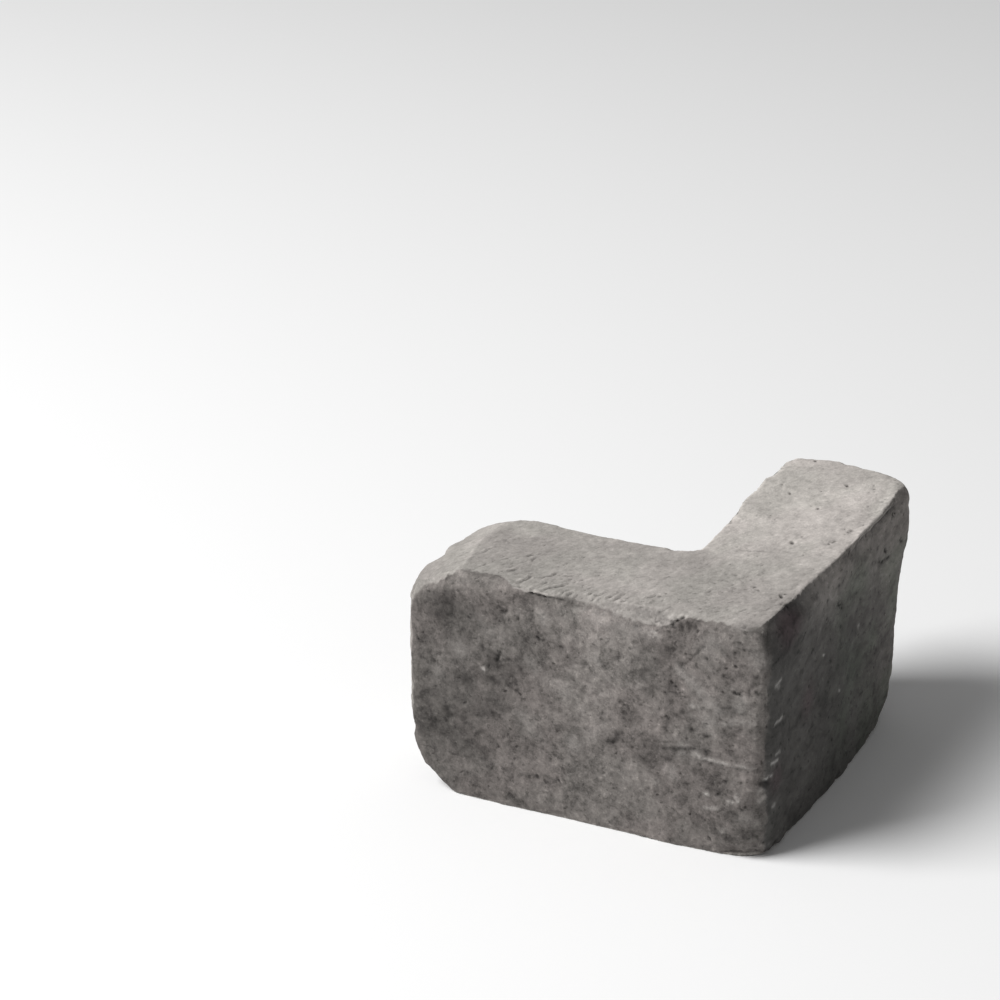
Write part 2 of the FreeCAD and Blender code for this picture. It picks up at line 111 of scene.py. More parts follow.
    (43.0, -70.2, 20.7, 57.7, -70.6, 11.4, 9, -0.08, 0), (17.5, -70.2, 32.8, 32.3, -70.1, 35.4, 0.9, -0.5, 0.2), (32.3, -70.1, 35.4, 40.9, -70.2, 37.2, 0.9, -0.75, 0.3),
    (40.9, -70.2, 37.2, 45.4, -70.2, 37.1, 0.9, -0.65, 0.2), (19.4, -70.1, 29.3, 24.8, -70.0, 27.9, 2, -0.5, 0.1), (30.8, -70.0, 32.6, 30.9, -70.0, 31.5, 1.2, -0.6, 0.2),
    (50.0, -70.2, 26.7, 52.5, -70.3, 28.1, 1, -0.8, 0.3), (48.7, -70.3, 22.5, 49.6, -70.3, 22.9, 1, -0.9, 0.4), (55.8, -70.2, 33.2, 57.2, -70.1, 33.1, 0.9, -0.7, 0.2),
    (46.6, -70.1, 24.8, 46.6, -70.2, 23.7, 1.2, -0.5, 0.1), (57.8, -70.5, 19.7, 58.8, -70.4, 19.8, 0.9, -0.8, 0.3), (52.9, -70.5, 8.0, 53.1, -70.3, 6.5, 1.4, -0.75, 0.3),
    (48.6, -70.5, 8.4, 48.1, -70.6, 10.6, 1.2, -0.75, 0.2), (63.2, -67.1, 28.2, 63.8, -65.3, 27.9, 1.7, -0.8, 0.5), (44.3, -70.4, 42.7, 45.4, -70.3, 42.6, 0.9, -0.7, 0.2),
    (53.0, -70.2, 41.3, 54.2, -70.1, 38.0, 0.8, -0.55, 0.15), (58.7, -70.3, 9.6, 61.4, -69.3, 10.9, 2.2, -0.45, 0.1), (53.4, -70.9, 16.4, 56.2, -70.8, 16.7, 1.2, -0.55, 0.1),
    (38.6, -70.0, 23.3, 38.9, -70.0, 22.6, 1.2, -0.5, 0.1), (38.8, -70.0, 28.9, 39.9, -70.0, 28.4, 1.5, -0.4, 0.1), (43.5, -70.0, 28.1, 45.2, -70.0, 29.3, 1, -0.4, 0.1),
    (49.1, -70.1, 30.6, 52.0, -70.2, 32.0, 1.2, -0.35, 0), (59.8, -69.9, 24.5, 60.5, -69.7, 23.5, 1.2, -0.4, 0.1), (41.4, -70.2, 36.2, 42.6, -70.1, 34.6, 1, 0.55, -0.15),
    (42.6, -70.1, 34.6, 48.6, -70.1, 34.3, 0.6, 0.8, -0.2), (48.6, -70.1, 34.3, 53.7, -70.2, 34.0, 0.55, 0.8, -0.2), (53.7, -70.2, 34.0, 58.5, -69.9, 34.1, 0.7, 0.6, -0.2),
    (58.5, -69.9, 34.1, 60.7, -69.3, 33.9, 0.8, 0.3, -0.1), (48.7, -70.1, 34.3, 49.0, -70.1, 34.2, 0.9, 0.6, -0.1), (57.1, -70.1, 34.2, 58.2, -69.9, 34.2, 1, 0.5, -0.1),
    (35.5, -70.2, 37.8, 37.3, -70.3, 38.2, 1.4, 0.45, -0.1), (35.9, -70.1, 34.6, 36.6, -70.1, 34.7, 1.4, 0.35, -0.1), (40.5, -70.2, 35.4, 40.5, -70.2, 35.2, 1.2, 0.5, -0.1),
    (44.8, -70.2, 21.5, 45.5, -70.2, 21.7, 0.75, 0.95, -0.2), (55.9, -70.5, 23.4, 56.2, -70.5, 23.6, 0.65, 0.85, -0.2), (53.0, -70.6, 20.8, 56.8, -70.5, 21.6, 0.7, 0.85, -0.2),
    (44.6, -70.4, 16.4, 49.7, -70.7, 17.5, 0.6, 0.65, -0.1), (62.9, -67.7, 25.8, 63.2, -67.1, 25.8, 1, 0.55, -0.1), (63.0, -67.6, 21.9, 63.4, -66.6, 23.1, 1, 0.55, -0.1),
    (63.5, -66.3, 29.5, 63.8, -65.3, 29.4, 0.5, 0.75, -0.1), (58.6, -70.5, 15.7, 60.2, -70.1, 15.8, 1.8, 0.28, 0), (51.0, -70.6, 9.4, 52.1, -70.6, 9.7, 1.2, 0.38, 0),
    (62.4, -68.5, 14.1, 62.9, -67.9, 13.5, 1.6, 0.2, 0), (25.6, -70.0, 21.7, 27.1, -69.9, 21.3, 1.5, 0.2, 0), (32.0, -69.9, 27.3, 32.7, -69.9, 25.6, 2, 0.25, 0),
    (-24.8, -70.3, 51.8, -27.8, -70.3, 50.0, 4.5, -0.28, 0.0), (3.5, -70.7, 70.7, 1.0, -70.7, 69.5, 5.0, 0.22, 0.0),
    (-30.3, -70.4, 40.3, -33.0, -70.4, 41.0, 4.0, -0.20, 0.0), (13.7, -70.6, 58.0, 14.9, -70.6, 58.2, 4.0, 0.20, 0.0),
    (-22.9, -70.5, 73.5, -21.0, -70.5, 73.5, 3.8, 0.18, 0.0), (-23.0, -70.1, 63.1, -21.5, -70.1, 62.5, 4.0, -0.16, 0.0),
    (17.3, -70.1, 43.2, 19.0, -70.1, 43.0, 4.0, -0.20, 0.0), (35.4, -70.5, 45.9, 36.5, -70.5, 45.0, 3.8, -0.20, 0.0),
    (-52.9, -70.3, 51.0, -52.0, -70.3, 49.0, 4.5, 0.20, 0.0), (53.5, -66.5, 82.0, 56.0, -65.5, 82.0, 3.5, -0.22, 0.0),
    # a small nick in leg A's top edge, painted dark inside as shade
    (-27.0, -67.2, 82.3, -24.2, -67.9, 82.0, 1.3, -0.36, 0.25),
    (61.6, -66.3, 80.8, 62.8, -65.2, 75.5, 3.0, -0.36, 0.0), (35.8, -70.5, 66.0, 43.2, -70.3, 74.6, 0.75, -0.42, 0.3), (46.2, -37.2, 83.0, 46.8, -36.8, 83.0, 0.7, -0.55, 0.45),
    (48.5, -38.5, 83.0, 49.0, -38.9, 83.0, 0.7, -0.45, 0.4), (20.7, -57.5, 82.8, 21.6, -57.0, 82.8, 0.6, -0.32, 0.3), (34.4, -36.7, 82.8, 35.0, -36.4, 82.8, 0.65, -0.24, 0.2),
    (24.4, -70.6, 76.2, 26.6, -70.6, 75.2, 0.8, 0.55, 0.25), (26.4, -70.6, 74.6, 27.4, -70.6, 75.4, 0.6, 0.45, 0.2),
    (49.4, -70.4, 48.2, 61.0, -69.5, 50.3, 0.5, 0.30, 0.1), (20.6, -70.2, 35.6, 39.1, -70.4, 39.0, 0.5, -0.34, 0.2),
    (64.0, -63.4, 34.2, 64.2, -59.0, 33.6, 0.55, 0.70, 0.3), (64.1, -60.5, 36.0, 64.2, -56.4, 35.4, 0.5, 0.45, 0.2),
    (63.9, -62.0, 62.0, 64.0, -57.5, 62.0, 0.7, 0.42, 0.1), (63.9, -60.5, 61.2, 64.0, -57.0, 61.4, 0.7, 0.36, 0.1), (63.8, -60.0, 59.9, 63.9, -58.0, 59.9, 0.6, 0.26, 0.1),
    (63.6, -61.3, 47.5, 63.8, -54.0, 46.9, 0.42, 0.55, 0.2), (63.7, -60.4, 45.9, 63.8, -52.9, 44.7, 0.6, -0.7, 0.1), (64.0, -63.5, 33.1, 64.3, -59.0, 32.2, 0.6, -0.7, 0.1),
    (63.9, -64.5, 29.9, 64.2, -62.9, 29.9, 0.5, 0.5, 0.1), (64.1, -61.8, 17.6, 64.2, -60.2, 17.6, 0.6, 0.4, 0.1), (63.7, -60.4, 55.7, 63.7, -59.4, 54.5, 0.8, -0.6, 0.2),
    (63.8, -56.5, 57.6, 63.8, -55.5, 56.4, 0.8, -0.5, 0.2), (63.9, 47.2, 80.1, 64.0, 48.5, 79.3, 0.85, -1, 0.8), (64.2, 54.0, 67.7, 64.1, 55.3, 66.8, 1.1, -0.8, 0.5),
    (63.6, 41.3, 68.8, 63.7, 42.4, 68.0, 0.85, -0.9, 0.5), (63.6, 39.0, 65.4, 63.9, 44.7, 64.7, 0.75, -0.8, 0.4), (63.7, 28.8, 68.7, 63.6, 36.6, 66.1, 0.75, -0.55, 0.2),
    (64.5, -5.9, 74.5, 64.5, -4.7, 73.9, 1.1, -0.7, 0.3), (64.2, -4.2, 66.6, 64.1, 0.2, 64.2, 1.1, -1, 0.6), (64.7, -15.9, 72.7, 64.6, -14.9, 72.2, 1, -0.7, 0.3),
    (64.3, -26.4, 78.6, 64.4, -25.8, 78.0, 1, -0.6, 0.2), (64.9, -33.8, 75.2, 64.9, -33.7, 74.5, 1, -0.8, 0.3), (64.4, -15.5, 65.5, 64.4, -14.3, 64.5, 1.2, -0.7, 0.3),
    (63.2, 27.1, 81.0, 63.2, 37.7, 81.8, 1.4, -0.5, 0.2), (63.2, 37.7, 81.8, 63.3, 48.0, 83.1, 1.3, -0.5, 0.2), (63.7, -0.7, 81.7, 63.5, 5.4, 81.8, 1.3, -0.5, 0.2),
    (63.7, 15.9, 75.1, 63.7, 18.0, 73.9, 1.4, -0.4, 0.1), (60.3, -45.5, 81.9, 60.5, -44.5, 81.8, 1.1, -0.8, 0.8), (64.5, -40.0, 68.7, 64.5, -38.4, 67.7, 1.2, -0.5, 0.2),
    (64.3, -25.4, 58.9, 64.3, -24.3, 57.7, 1.1, -0.5, 0.2), (64.4, -1.3, 52.4, 64.5, -0.4, 51.3, 1, -0.5, 0.2), (63.7, 17.8, 59.3, 63.7, 18.8, 58.5, 1.2, -0.5, 0.2),
    (64.2, 8.1, 48.4, 64.2, 9.2, 47.5, 0.9, -0.6, 0.2), (63.7, 32.4, 57.2, 63.7, 33.4, 56.0, 1, -0.4, 0.2), (64.3, -36.7, 56.4, 64.3, -35.7, 55.2, 1.2, -0.5, 0.2),
    (64.6, -14.4, 39.3, 64.7, -13.5, 38.6, 1, -0.5, 0.2), (64.5, 7.0, 34.9, 64.4, 8.2, 34.0, 1, -0.5, 0.2), (64.4, -11.1, 49.1, 64.5, -10.3, 48.4, 0.9, -0.5, 0.2),
    (65.0, -26.9, 28.1, 65.0, -26.0, 27.0, 1.1, -0.4, 0.2), (64.8, 0.1, 21.6, 64.8, 1.1, 20.8, 1, -0.4, 0.2), (64.5, 24.1, 36.0, 64.5, 25.0, 34.8, 1, -0.4, 0.2),
    (64.4, 37.8, 37.8, 64.3, 39.1, 36.5, 1, -0.4, 0.2), (65.3, 4.4, 12.1, 65.4, 5.3, 11.0, 1.2, -0.3, 0.2), (65.0, -39.1, 22.5, 65.1, -37.4, 21.3, 1.2, -0.3, 0.2),
    (64.2, -17.4, 53.6, 64.2, -16.4, 52.8, 0.5, 0.45, -0.1), (64.8, -3.2, 34.5, 64.7, -2.0, 33.6, 0.5, 0.3, -0.1), (63.8, 16.5, 50.5, 63.9, 17.4, 49.7, 0.6, 0.3, -0.1),
    (63.6, 37.9, 61.0, 63.7, 38.9, 60.3, 0.6, 0.35, -0.1), (44.1, 2.1, 83.3, 44.4, 2.0, 83.3, 0.62, -1, 1.1), (57.2, -39.6, 82.8, 57.3, -39.4, 82.8, 0.55, -0.95, 1.0),
    (44.6, 51.6, 85.7, 44.9, 51.8, 85.7, 0.55, -0.75, 0.7), (45.0, 51.8, 85.7, 45.7, 52.9, 85.8, 0.4, -0.4, 0.2), (42.1, 30.7, 84.5, 42.1, 30.9, 84.5, 0.52, -0.6, 0.5),
    (28.7, 37.9, 84.9, 28.8, 38.1, 84.9, 0.52, -0.6, 0.5), (33.9, 44.0, 85.2, 34.0, 44.2, 85.2, 0.5, -0.45, 0.3), (36.0, 36.7, 84.8, 36.1, 36.9, 84.8, 0.5, -0.45, 0.3),
    (27.5, 22.3, 84.2, 27.5, 22.5, 84.2, 0.5, -0.5, 0.3), (33.2, 31.8, 84.5, 33.3, 32.0, 84.5, 0.5, -0.35, 0.2), (54.6, 52.1, 85.9, 54.7, 52.4, 85.9, 0.5, -0.4, 0.3),
    (60.8, 44.5, 84.7, 60.8, 44.8, 84.7, 0.5, -0.45, 0.3), (47.4, 15.9, 84.1, 47.4, 16.0, 84.2, 0.5, -0.35, 0.2), (58.9, 16.6, 84.3, 59.3, 18.3, 84.3, 0.7, -0.5, 0.4),
    (61.4, 24.4, 83.7, 61.5, 25.1, 83.6, 0.6, -0.4, 0.3), (56.2, 5.3, 84.0, 57.2, 8.3, 84.2, 1.3, -0.22, 0.55), (51.1, -7.7, 83.5, 51.9, -6.5, 83.6, 0.9, -0.28, 0.35),
    (58.6, -16.4, 83.3, 58.9, -15.5, 83.3, 0.6, -0.35, 0.3), (43.6, 7.8, 83.6, 43.7, 8.0, 83.6, 0.5, -0.35, 0.2), (44.6, -39.7, 82.9, 45.4, -40.8, 82.9, 0.7, -0.4, 0.15),
    (47.5, -40.8, 82.9, 47.9, -39.7, 82.9, 0.7, -0.35, 0.15), (33.6, -39.8, 82.8, 33.9, -39.3, 82.8, 0.6, -0.4, 0.2), (26.7, 67.0, 85.4, 26.6, 67.6, 85.3, 0.6, -0.7, 0.5),
    (44.8, -5.7, 83.2, 44.9, -5.5, 83.2, 0.5, -0.3, 0.2), (44.7, -27.7, 83.2, 45.0, -25.8, 83.3, 0.6, -0.3, 0.2), (35.6, 5.0, 83.2, 35.8, 5.5, 83.2, 0.5, -0.3, 0.2),
    (52.7, 24.6, 84.5, 52.9, 25.1, 84.5, 0.5, -0.3, 0.2), (54.2, 37.8, 84.9, 54.4, 38.2, 85.0, 0.5, -0.3, 0.2), (32.7, -32.2, 82.7, 32.9, -31.9, 82.7, 0.6, 0.8, -0.1),
    (45.2, -22.9, 83.3, 45.3, -22.6, 83.3, 0.45, 0.8, -0.1), (52.9, -29.4, 83.2, 53.0, -29.2, 83.2, 0.45, 0.7, -0.1), (31.2, -45.0, 82.8, 31.2, -44.8, 82.8, 0.45, 0.7, -0.1),
    (49.2, -5.1, 83.4, 49.3, -4.9, 83.4, 0.4, 0.6, -0.1), (29.7, -10.3, 82.5, 34.4, -9.7, 82.8, 0.45, -0.3, 0.15), (34.4, -9.7, 82.8, 38.6, -8.3, 82.9, 0.45, -0.3, 0.15),
    (38.6, -8.3, 82.9, 43.1, -7.9, 83.1, 0.45, -0.3, 0.15), (37.1, -30.7, 82.9, 46.2, -39.7, 82.9, 0.6, -0.25, 0.15), (35.0, -35.1, 82.8, 39.6, -38.4, 82.9, 0.6, -0.2, 0.1),
    (23.3, -70.2, 75.2, 25.1, -70.3, 74.4, 0.55, 0.75, -0.2), (25.1, -70.3, 74.4, 26.1, -70.2, 75.7, 0.5, 0.6, -0.2), (25.9, -70.4, 73.5, 27.0, -70.3, 74.5, 0.5, 0.5, -0.15),
    (24.1, -70.4, 73.1, 24.5, -70.4, 72.5, 0.4, 0.4, -0.2), (30.0, -67.9, 81.7, 30.7, -67.1, 82.0, 0.8, 0.5, -0.15), (30.2, -69.9, 79.0, 31.8, -69.6, 79.9, 0.5, 0.35, -0.1),
]
MARKS += [
    # shadow line under the lip of leg A's top edge
    (-19.5, -69.4, 81.0, -19.0, -69.6, 80.7, 1.0, -1.0, 0.9), (-19.0, -69.6, 80.7, -14.1, -69.8, 80.4, 0.65, -0.8, 0.6),
    (-14.1, -69.8, 80.4, -7.1, -69.6, 80.5, 0.6, -0.4, 0.4), (-7.1, -69.6, 80.5, -1.5, -69.4, 80.5, 0.7, -0.2, 0.2),
    (-1.5, -69.4, 80.5, 10.1, -69.6, 80.1, 0.8, -0.12, 0.1), (10.1, -69.6, 80.1, 15.2, -69.7, 79.4, 0.8, -0.12, 0.1),
    # the bite nearer the corner, painted dark inside as shade
    (31.2, -69.7, 79.7, 32.1, -68.8, 81.1, 0.8, -0.9, 0.6), (32.1, -68.8, 81.1, 34.4, -67.2, 82.1, 0.7, -0.8, 0.5),
    (34.3, -69.7, 79.9, 38.5, -69.2, 80.5, 2.3, -0.5, 0.2), (28.0, -70.0, 78.2, 31.5, -69.7, 79.4, 0.8, -0.5, 0.3),
]

# Strokes dragged through the soft top: from, to, width, depth.
GROOVES = [
    (-45.9, -50.6, -44.6, -45.8, 0.8, 0.5), (-31.3, -47.5, -30.5, -45.0, 0.8, 0.45), (-28.4, -51.2, -28.3, -48.1, 0.8, 0.45), (-32.1, -61.5, -30.8, -59.3, 0.9, 0.5),
    (-24.8, -67.0, -22.9, -61.5, 1.1, 0.8), (-26.7, -69.5, -22.4, -67.7, 1, 0.4), (-18.9, -60.6, -16.3, -55.1, 0.9, 0.6), (-14.0, -67.2, -9.6, -62.9, 1, 0.55),
    (-10.8, -68.2, -9.0, -66.0, 0.8, 0.5), (-9.0, -68.3, -7.3, -65.8, 0.8, 0.55), (-6.8, -68.4, -5.5, -65.7, 0.8, 0.5), (-4.7, -68.0, -3.9, -66.0, 0.7, 0.45),
    (1.4, -68.0, 2.9, -65.0, 0.9, 0.6), (3.5, -67.9, 5.0, -65.7, 0.7, 0.4), (6.3, -66.2, 7.6, -63.5, 0.8, 0.5), (8.8, -66.0, 10.7, -63.3, 0.8, 0.5),
    (18.3, -61.0, 20.0, -57.2, 0.8, 0.4), (-18.4, -66.9, -16.4, -63.4, 0.9, 0.45), (-15.9, -69.0, -13.6, -66.9, 0.8, 0.45), (-19.1, -68.5, -17.4, -66.6, 0.8, 0.4),
    (-8.5, -60.9, -6.7, -56.9, 0.7, 0.3), (-2.1, -63.6, -0.6, -60.6, 0.7, 0.3), (18.8, -66.7, 19.9, -65.2, 0.6, 0.3), (31.4, -56.8, 32.2, -54.5, 0.6, 0.3),
    (38.2, -63.3, 38.8, -61.5, 0.6, 0.3), (25.8, -66.4, 27.5, -64.1, 0.6, 0.25), (-38.1, -54.7, -36.8, -51.2, 0.7, 0.3), (-33.5, -55.0, -32.2, -51.5, 0.7, 0.3),
    (-18.2, -49.7, -16.6, -46.1, 0.7, 0.25), (-34.1, -64.2, -33.3, -62.1, 0.8, 0.35), (-41.9, -62.0, -41.2, -59.0, 0.7, 0.3), (7.3, -57.4, 8.7, -54.1, 0.6, 0.22),
    (32.0, -48.2, 33.0, -45.5, 0.6, 0.25), (43.6, -52.1, 44.5, -49.9, 0.6, 0.3), (42.7, -60.8, 44.1, -58.2, 0.6, 0.25), (49.9, -57.0, 50.7, -53.9, 0.6, 0.3),
    (-1.2, -54.6, 0.1, -51.1, 0.6, 0.2), (-12.3, -50.6, -10.9, -47.1, 0.6, 0.2),
]


# ---------------------------------------------------------------- camera
def make_camera():
    pitch, phi = math.radians(22.91), math.radians(63.59)
    right = Vector((math.sin(phi), math.cos(phi), 0.0))
    ahead = Vector((-math.cos(phi), math.sin(phi), 0.0))
    fwd = math.cos(pitch) * ahead - math.sin(pitch) * Vector((0, 0, 1))
    up = right.cross(fwd)
    data = bpy.data.cameras.new("camera")
    data.sensor_fit = "HORIZONTAL"
    data.sensor_width = 36.0
    data.lens = 126.0
    data.clip_start, data.clip_end = 0.05, 60.0
    cam = bpy.data.objects.new("camera", data)
    m = Matrix((right, up, -fwd)).transposed().to_4x4()
    m.translation = Vector((0.438703, -1.014778, 0.557900))
    cam.matrix_world = m
    scene.collection.objects.link(cam)
    scene.camera = cam


make_camera()


# ---------------------------------------------------------------- noise
def _hash(i, j, k, seed):
    h = (i.astype(np.int64) * 374761393 + j.astype(np.int64) * 668265263
         + k.astype(np.int64) * 2147483629 + seed * 974634777) & 0xFFFFFFFF
    h = ((h ^ (h >> 13)) * 1274126177) & 0xFFFFFFFF
    h = ((h ^ (h >> 16)) * 2246822519) & 0xFFFFFFFF
    return h ^ (h >> 15)


def perlin(p, seed=0):
    """Smooth random field, about -0.8 to 0.8, one swell per unit."""
    b = np.floor(p)
    f = p - b
    b = b.astype(np.int64)
    s = f * f * f * (f * (f * 6 - 15) + 10)
    out = np.zeros(len(p))
    for a in (0, 1):
        wa = s[:, 0] if a else 1 - s[:, 0]
        for c in (0, 1):
            wc = s[:, 1] if c else 1 - s[:, 1]
            for d in (0, 1):
                wd = s[:, 2] if d else 1 - s[:, 2]
                h = _hash(b[:, 0] + a, b[:, 1] + c, b[:, 2] + d, seed)
                th = (h & 0xFFFF) / 65536.0 * 2 * np.pi
                z = (h >> 16) / 32768.0 - 1.0
                r = np.sqrt(np.maximum(0, 1 - z * z))
                g = (r * np.cos(th) * (f[:, 0] - a) + r * np.sin(th) * (f[:, 1] - c)
                     + z * (f[:, 2] - d))
                out += wa * wc * wd * g
    return out * 1.6


def fbm(p, seed, octaves=3, gain=0.5):
    out, amp = 0.0, 1.0
    for i in range(octaves):
        out = out + amp * perlin(p * 2.03 ** i + 17.3 * i, seed + 31 * i)
        amp *= gain
    return out


def spots(p, seed, density=1.0):
    """Nearest random spot of a jittered lattice: distance to it and its own random number."""
    b = np.floor(p).astype(np.int64)
    best = np.full(len(p), 9.0)
    who = np.zeros(len(p))
    for a in (-1, 0, 1):
        for c in (-1, 0, 1):
            for d in (-1, 0, 1):
                q = b + np.array((a, c, d))
                h1 = _hash(q[:, 0], q[:, 1], q[:, 2], seed)
                h2 = _hash(q[:, 0], q[:, 1], q[:, 2], seed + 7)
                x = np.stack([(h1 & 0x3FF) / 1024.0, ((h1 >> 10) & 0x3FF) / 1024.0,
                              ((h1 >> 20) & 0x3FF) / 1024.0], 1) + q
                r = (h2 & 0xFFFF) / 65536.0
                dist = np.sqrt(((p - x) ** 2).sum(1))
                dist = np.where(r < density, dist, 9.0)
                m = dist < best
                best = np.where(m, dist, best)
                who = np.where(m, ((h2 >> 16) & 0xFFFF) / 65536.0, who)
    return best, who


def ramp(x, a, b):
    t = np.clip((x - a) / (b - a), 0, 1)
    return t * t * (3 - 2 * t)


def bell(c, radii):
    d = (P - np.array(c)) / np.array(radii)
    return np.exp(-(d ** 2).sum(1))


# ---------------------------------------------------------------- mesh
def remeshed(node, size_mm):
    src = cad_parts[node]
    ob = bpy.data.objects.new("work", src.data.copy())
    scene.collection.objects.link(ob)
    mod = ob.modifiers.new("voxels", "REMESH")
    mod.mode = "VOXEL"
    mod.voxel_size = size_mm / 1000.0
    mod.adaptivity = 0.0
    dg = bpy.context.evaluated_depsgraph_get()
    me = bpy.data.meshes.new_from_object(ob.evaluated_get(dg))
    bpy.data.objects.remove(ob)
    me.materials.clear()
    return me


def coords(me):
    co = np.zeros(len(me.vertices) * 3, np.float32)
    me.vertices.foreach_get("co", co)
    return co.reshape(-1, 3).astype(float) * 1000.0


def edge_pairs(me):
    e = np.zeros(len(me.edges) * 2, np.int32)
    me.edges.foreach_get("vertices", e)
    return e.reshape(-1, 2)


def quads(me):
    n = len(me.polygons)
    v = np.zeros(len(me.loops), np.int32)
    me.loops.foreach_get("vertex_index", v)
    return v.reshape(n, -1)


def smoothed(p, pairs, times):
    n = len(p)
    a, b = pairs[:, 0], pairs[:, 1]
    deg = np.maximum(np.bincount(a, minlength=n) + np.bincount(b, minlength=n), 1)
    q = p.copy()
    for _ in range(times):
        s = np.stack([np.bincount(a, q[b, c], n) + np.bincount(b, q[a, c], n) for c in range(3)], 1)
        q = 0.35 * q + 0.65 * s / deg[:, None]
    return q


def normals_of(p, f):
    d1, d2 = p[f[:, 2]] - p[f[:, 0]], p[f[:, 3]] - p[f[:, 1]]
    fn = np.cross(d1, d2)
    n = np.zeros_like(p)
    for k in range(4):
        for c in range(3):
            n[:, c] += np.bincount(f[:, k], fn[:, c], len(p))
    return n / np.maximum(np.linalg.norm(n, axis=1), 1e-9)[:, None]


def profile(key, value, pick, lo, hi, step):
    """Median of value along key, for the picked points, as a smooth table."""
    at, got = [], []
    for k in np.arange(lo, hi + 0.1, step):
        m = pick & (np.abs(key - k) < step * 0.75)
        if m.sum() > 8:
            at.append(k)
            got.append(np.median(value[m]))
    got = np.array(got)
    soft = np.convolve(np.pad(got, 2, mode="edge"), np.ones(5) / 5, "valid")
    return np.array(at), soft


me = remeshed("corner_stone", VOXEL)
P = coords(me)
pairs = edge_pairs(me)
faces = quads(me)
N0 = normals_of(P, faces)
NS = normals_of(smoothed(P, pairs, 8), faces)
X, Y, Z = P[:, 0].copy(), P[:, 1].copy(), P[:, 2].copy()

back = np.maximum(ramp(-np.abs(Y - BACK_A_Y), -0.7, -0.2) * ramp(N0[:, 1], 0.6, 0.9),
                  ramp(-np.abs(X - BACK_B_X), -0.7, -0.2) * ramp(-N0[:, 0], 0.6, 0.9))
near_in = (np.hypot(X - (BACK_B_X - 4), Y - (BACK_A_Y + 4)) < 4.6) & (NS[:, 2] < 0.5)
back = np.maximum(back, near_in.astype(float))
bed = ramp(-Z, -0.6, -0.1) * ramp(-N0[:, 2], 0.6, 0.9)
hidden = np.clip(np.maximum(back, bed), 0, 1)

# ---- the form itself, closer than the solid at a few places ----
# leg B's outer top edge is crisp: the flat top runs out to a line, and the
# face drops steeply away from it.  Line as y, x.
CRISP = np.array([(-68.0, 57.5), (-62.3, 59.3), (-55.8, 60.5), (-43.8, 60.8), (-33.9, 61.5), (-21.6, 61.9),
                  (-4.7, 63.0), (9.0, 63.1), (21.9, 63.5), (36.7, 63.8), (48.4, 63.0), (59.9, 61.1), (70.0, 58.5)])
ky, kz = profile(Y, Z, (NS[:, 2] > 0.97) & (X > 51) & (X < 57), -62, 64, 3.0)
zt = np.interp(Y, ky, kz)
xb = np.interp(Y, CRISP[:, 0], CRISP[:, 1])
mx, mz = NS[:, 0], NS[:, 2]
ml = np.maximum(np.hypot(mx, mz), 1e-6)
mx, mz = mx / ml, mz / ml
wob = 0.35 * perlin(np.stack([Y / 6.0, Y * 0 + 0.5, Y * 0 + 0.5], 1), 5) + 0.22 * perlin(np.stack([Y / 2.4, Y * 0 + 0.5, Y * 0 + 0.5], 1), 6)
oc = 0.875 * xb + 0.484 * zt + wob
gap_top = (zt - Z) / np.maximum(mz, 0.05)
gap_cut = (oc - 0.875 * X - 0.484 * Z) / np.maximum(0.875 * mx + 0.484 * mz, 0.2)
gap = np.minimum(gap_top, gap_cut)
gap = np.where(gap > 0, np.minimum(gap, 1.6) * ramp(mz, 0.35, 0.65) * ramp(X - xb, -4.0, -1.5), gap)
zone = (X > 54) & (Z > zt - 9) & (mx > -0.2) & (mz > -0.2) & (hidden < 0.2)
amt = zone * ramp(Y, -65, -57) * (1 - ramp(Y, 50, 60)) * ramp(X, 55, 58)
P[:, 0] += mx * gap * amt
P[:, 2] += mz * gap * amt

# the vertical outer edge stands a little proud and is broadly rounded
push = ramp(N0[:, 0], 0.2, 0.8) * ramp(-Y, 42, 62) * (1 - ramp(Z, 70, 81)) * (X > 45)
P[:, 0] += 1.5 * push
kz2, kx = profile(Z, P[:, 0], (N0[:, 0] > 0.95) & (Y > -60) & (Y < -53), 8, 76, 3.0)
kz3, kyf = profile(Z, P[:, 1], (N0[:, 1] < -0.95) & (X > 48) & (X < 56), 8, 76, 3.0)
R = np.interp(Z, [0, 10, 25, 55, 72, 83], [11.0, 10.0, 8.5, 7.5, 5.0, 3.3])
cx = np.interp(Z, kz2, kx) - R
cy = np.interp(Z, kz3, kyf) + R
vx, vy = P[:, 0] - cx, P[:, 1] - cy
d = np.maximum(np.hypot(vx, vy), 1e-6)
t = np.degrees(np.arctan2(vx, -vy))
blend = ramp(t, 0, 25) * ramp(90 - t, 0, 25) * ((vx > 0) & (vy < 0)) * (X > 45) * (Y < -45)
new = np.where(d > R, R + 0.12 * (d - R), d)
k = 1 + (new / d - 1) * blend
P[:, 0], P[:, 1] = np.where(blend > 0, cx + vx * k, P[:, 0]), np.where(blend > 0, cy + vy * k, P[:, 1])

# leg A's end facet breaks from the top along a clear line.  Line as y, x.
RIDGE = np.array([(-70.0, -46.6), (-67.0, -47.0), (-58.3, -47.8), (-50.0, -49.8), (-44.0, -51.0), (-35.0, -51.8), (-25.0, -52.6), (-17.0, -53.2)])
xr = np.interp(Y, RIDGE[:, 0], RIDGE[:, 1])
ky4, kz4 = profile(Y, Z, (NS[:, 2] > 0.96) & (X > -42) & (X < -34), -66, -21, 3.0)
zr = np.interp(Y, ky4, kz4) + 0.1
want = np.minimum(zr, zr - 0.36 * (xr - X))
P[:, 2] += np.clip(want - Z, 0, 1.3) * np.exp(-((X - xr) / 6.5) ** 2) * ramp(NS[:, 2], 0.5, 0.85) * ramp(-Y, 19, 23) * ramp(Z, 74, 78)

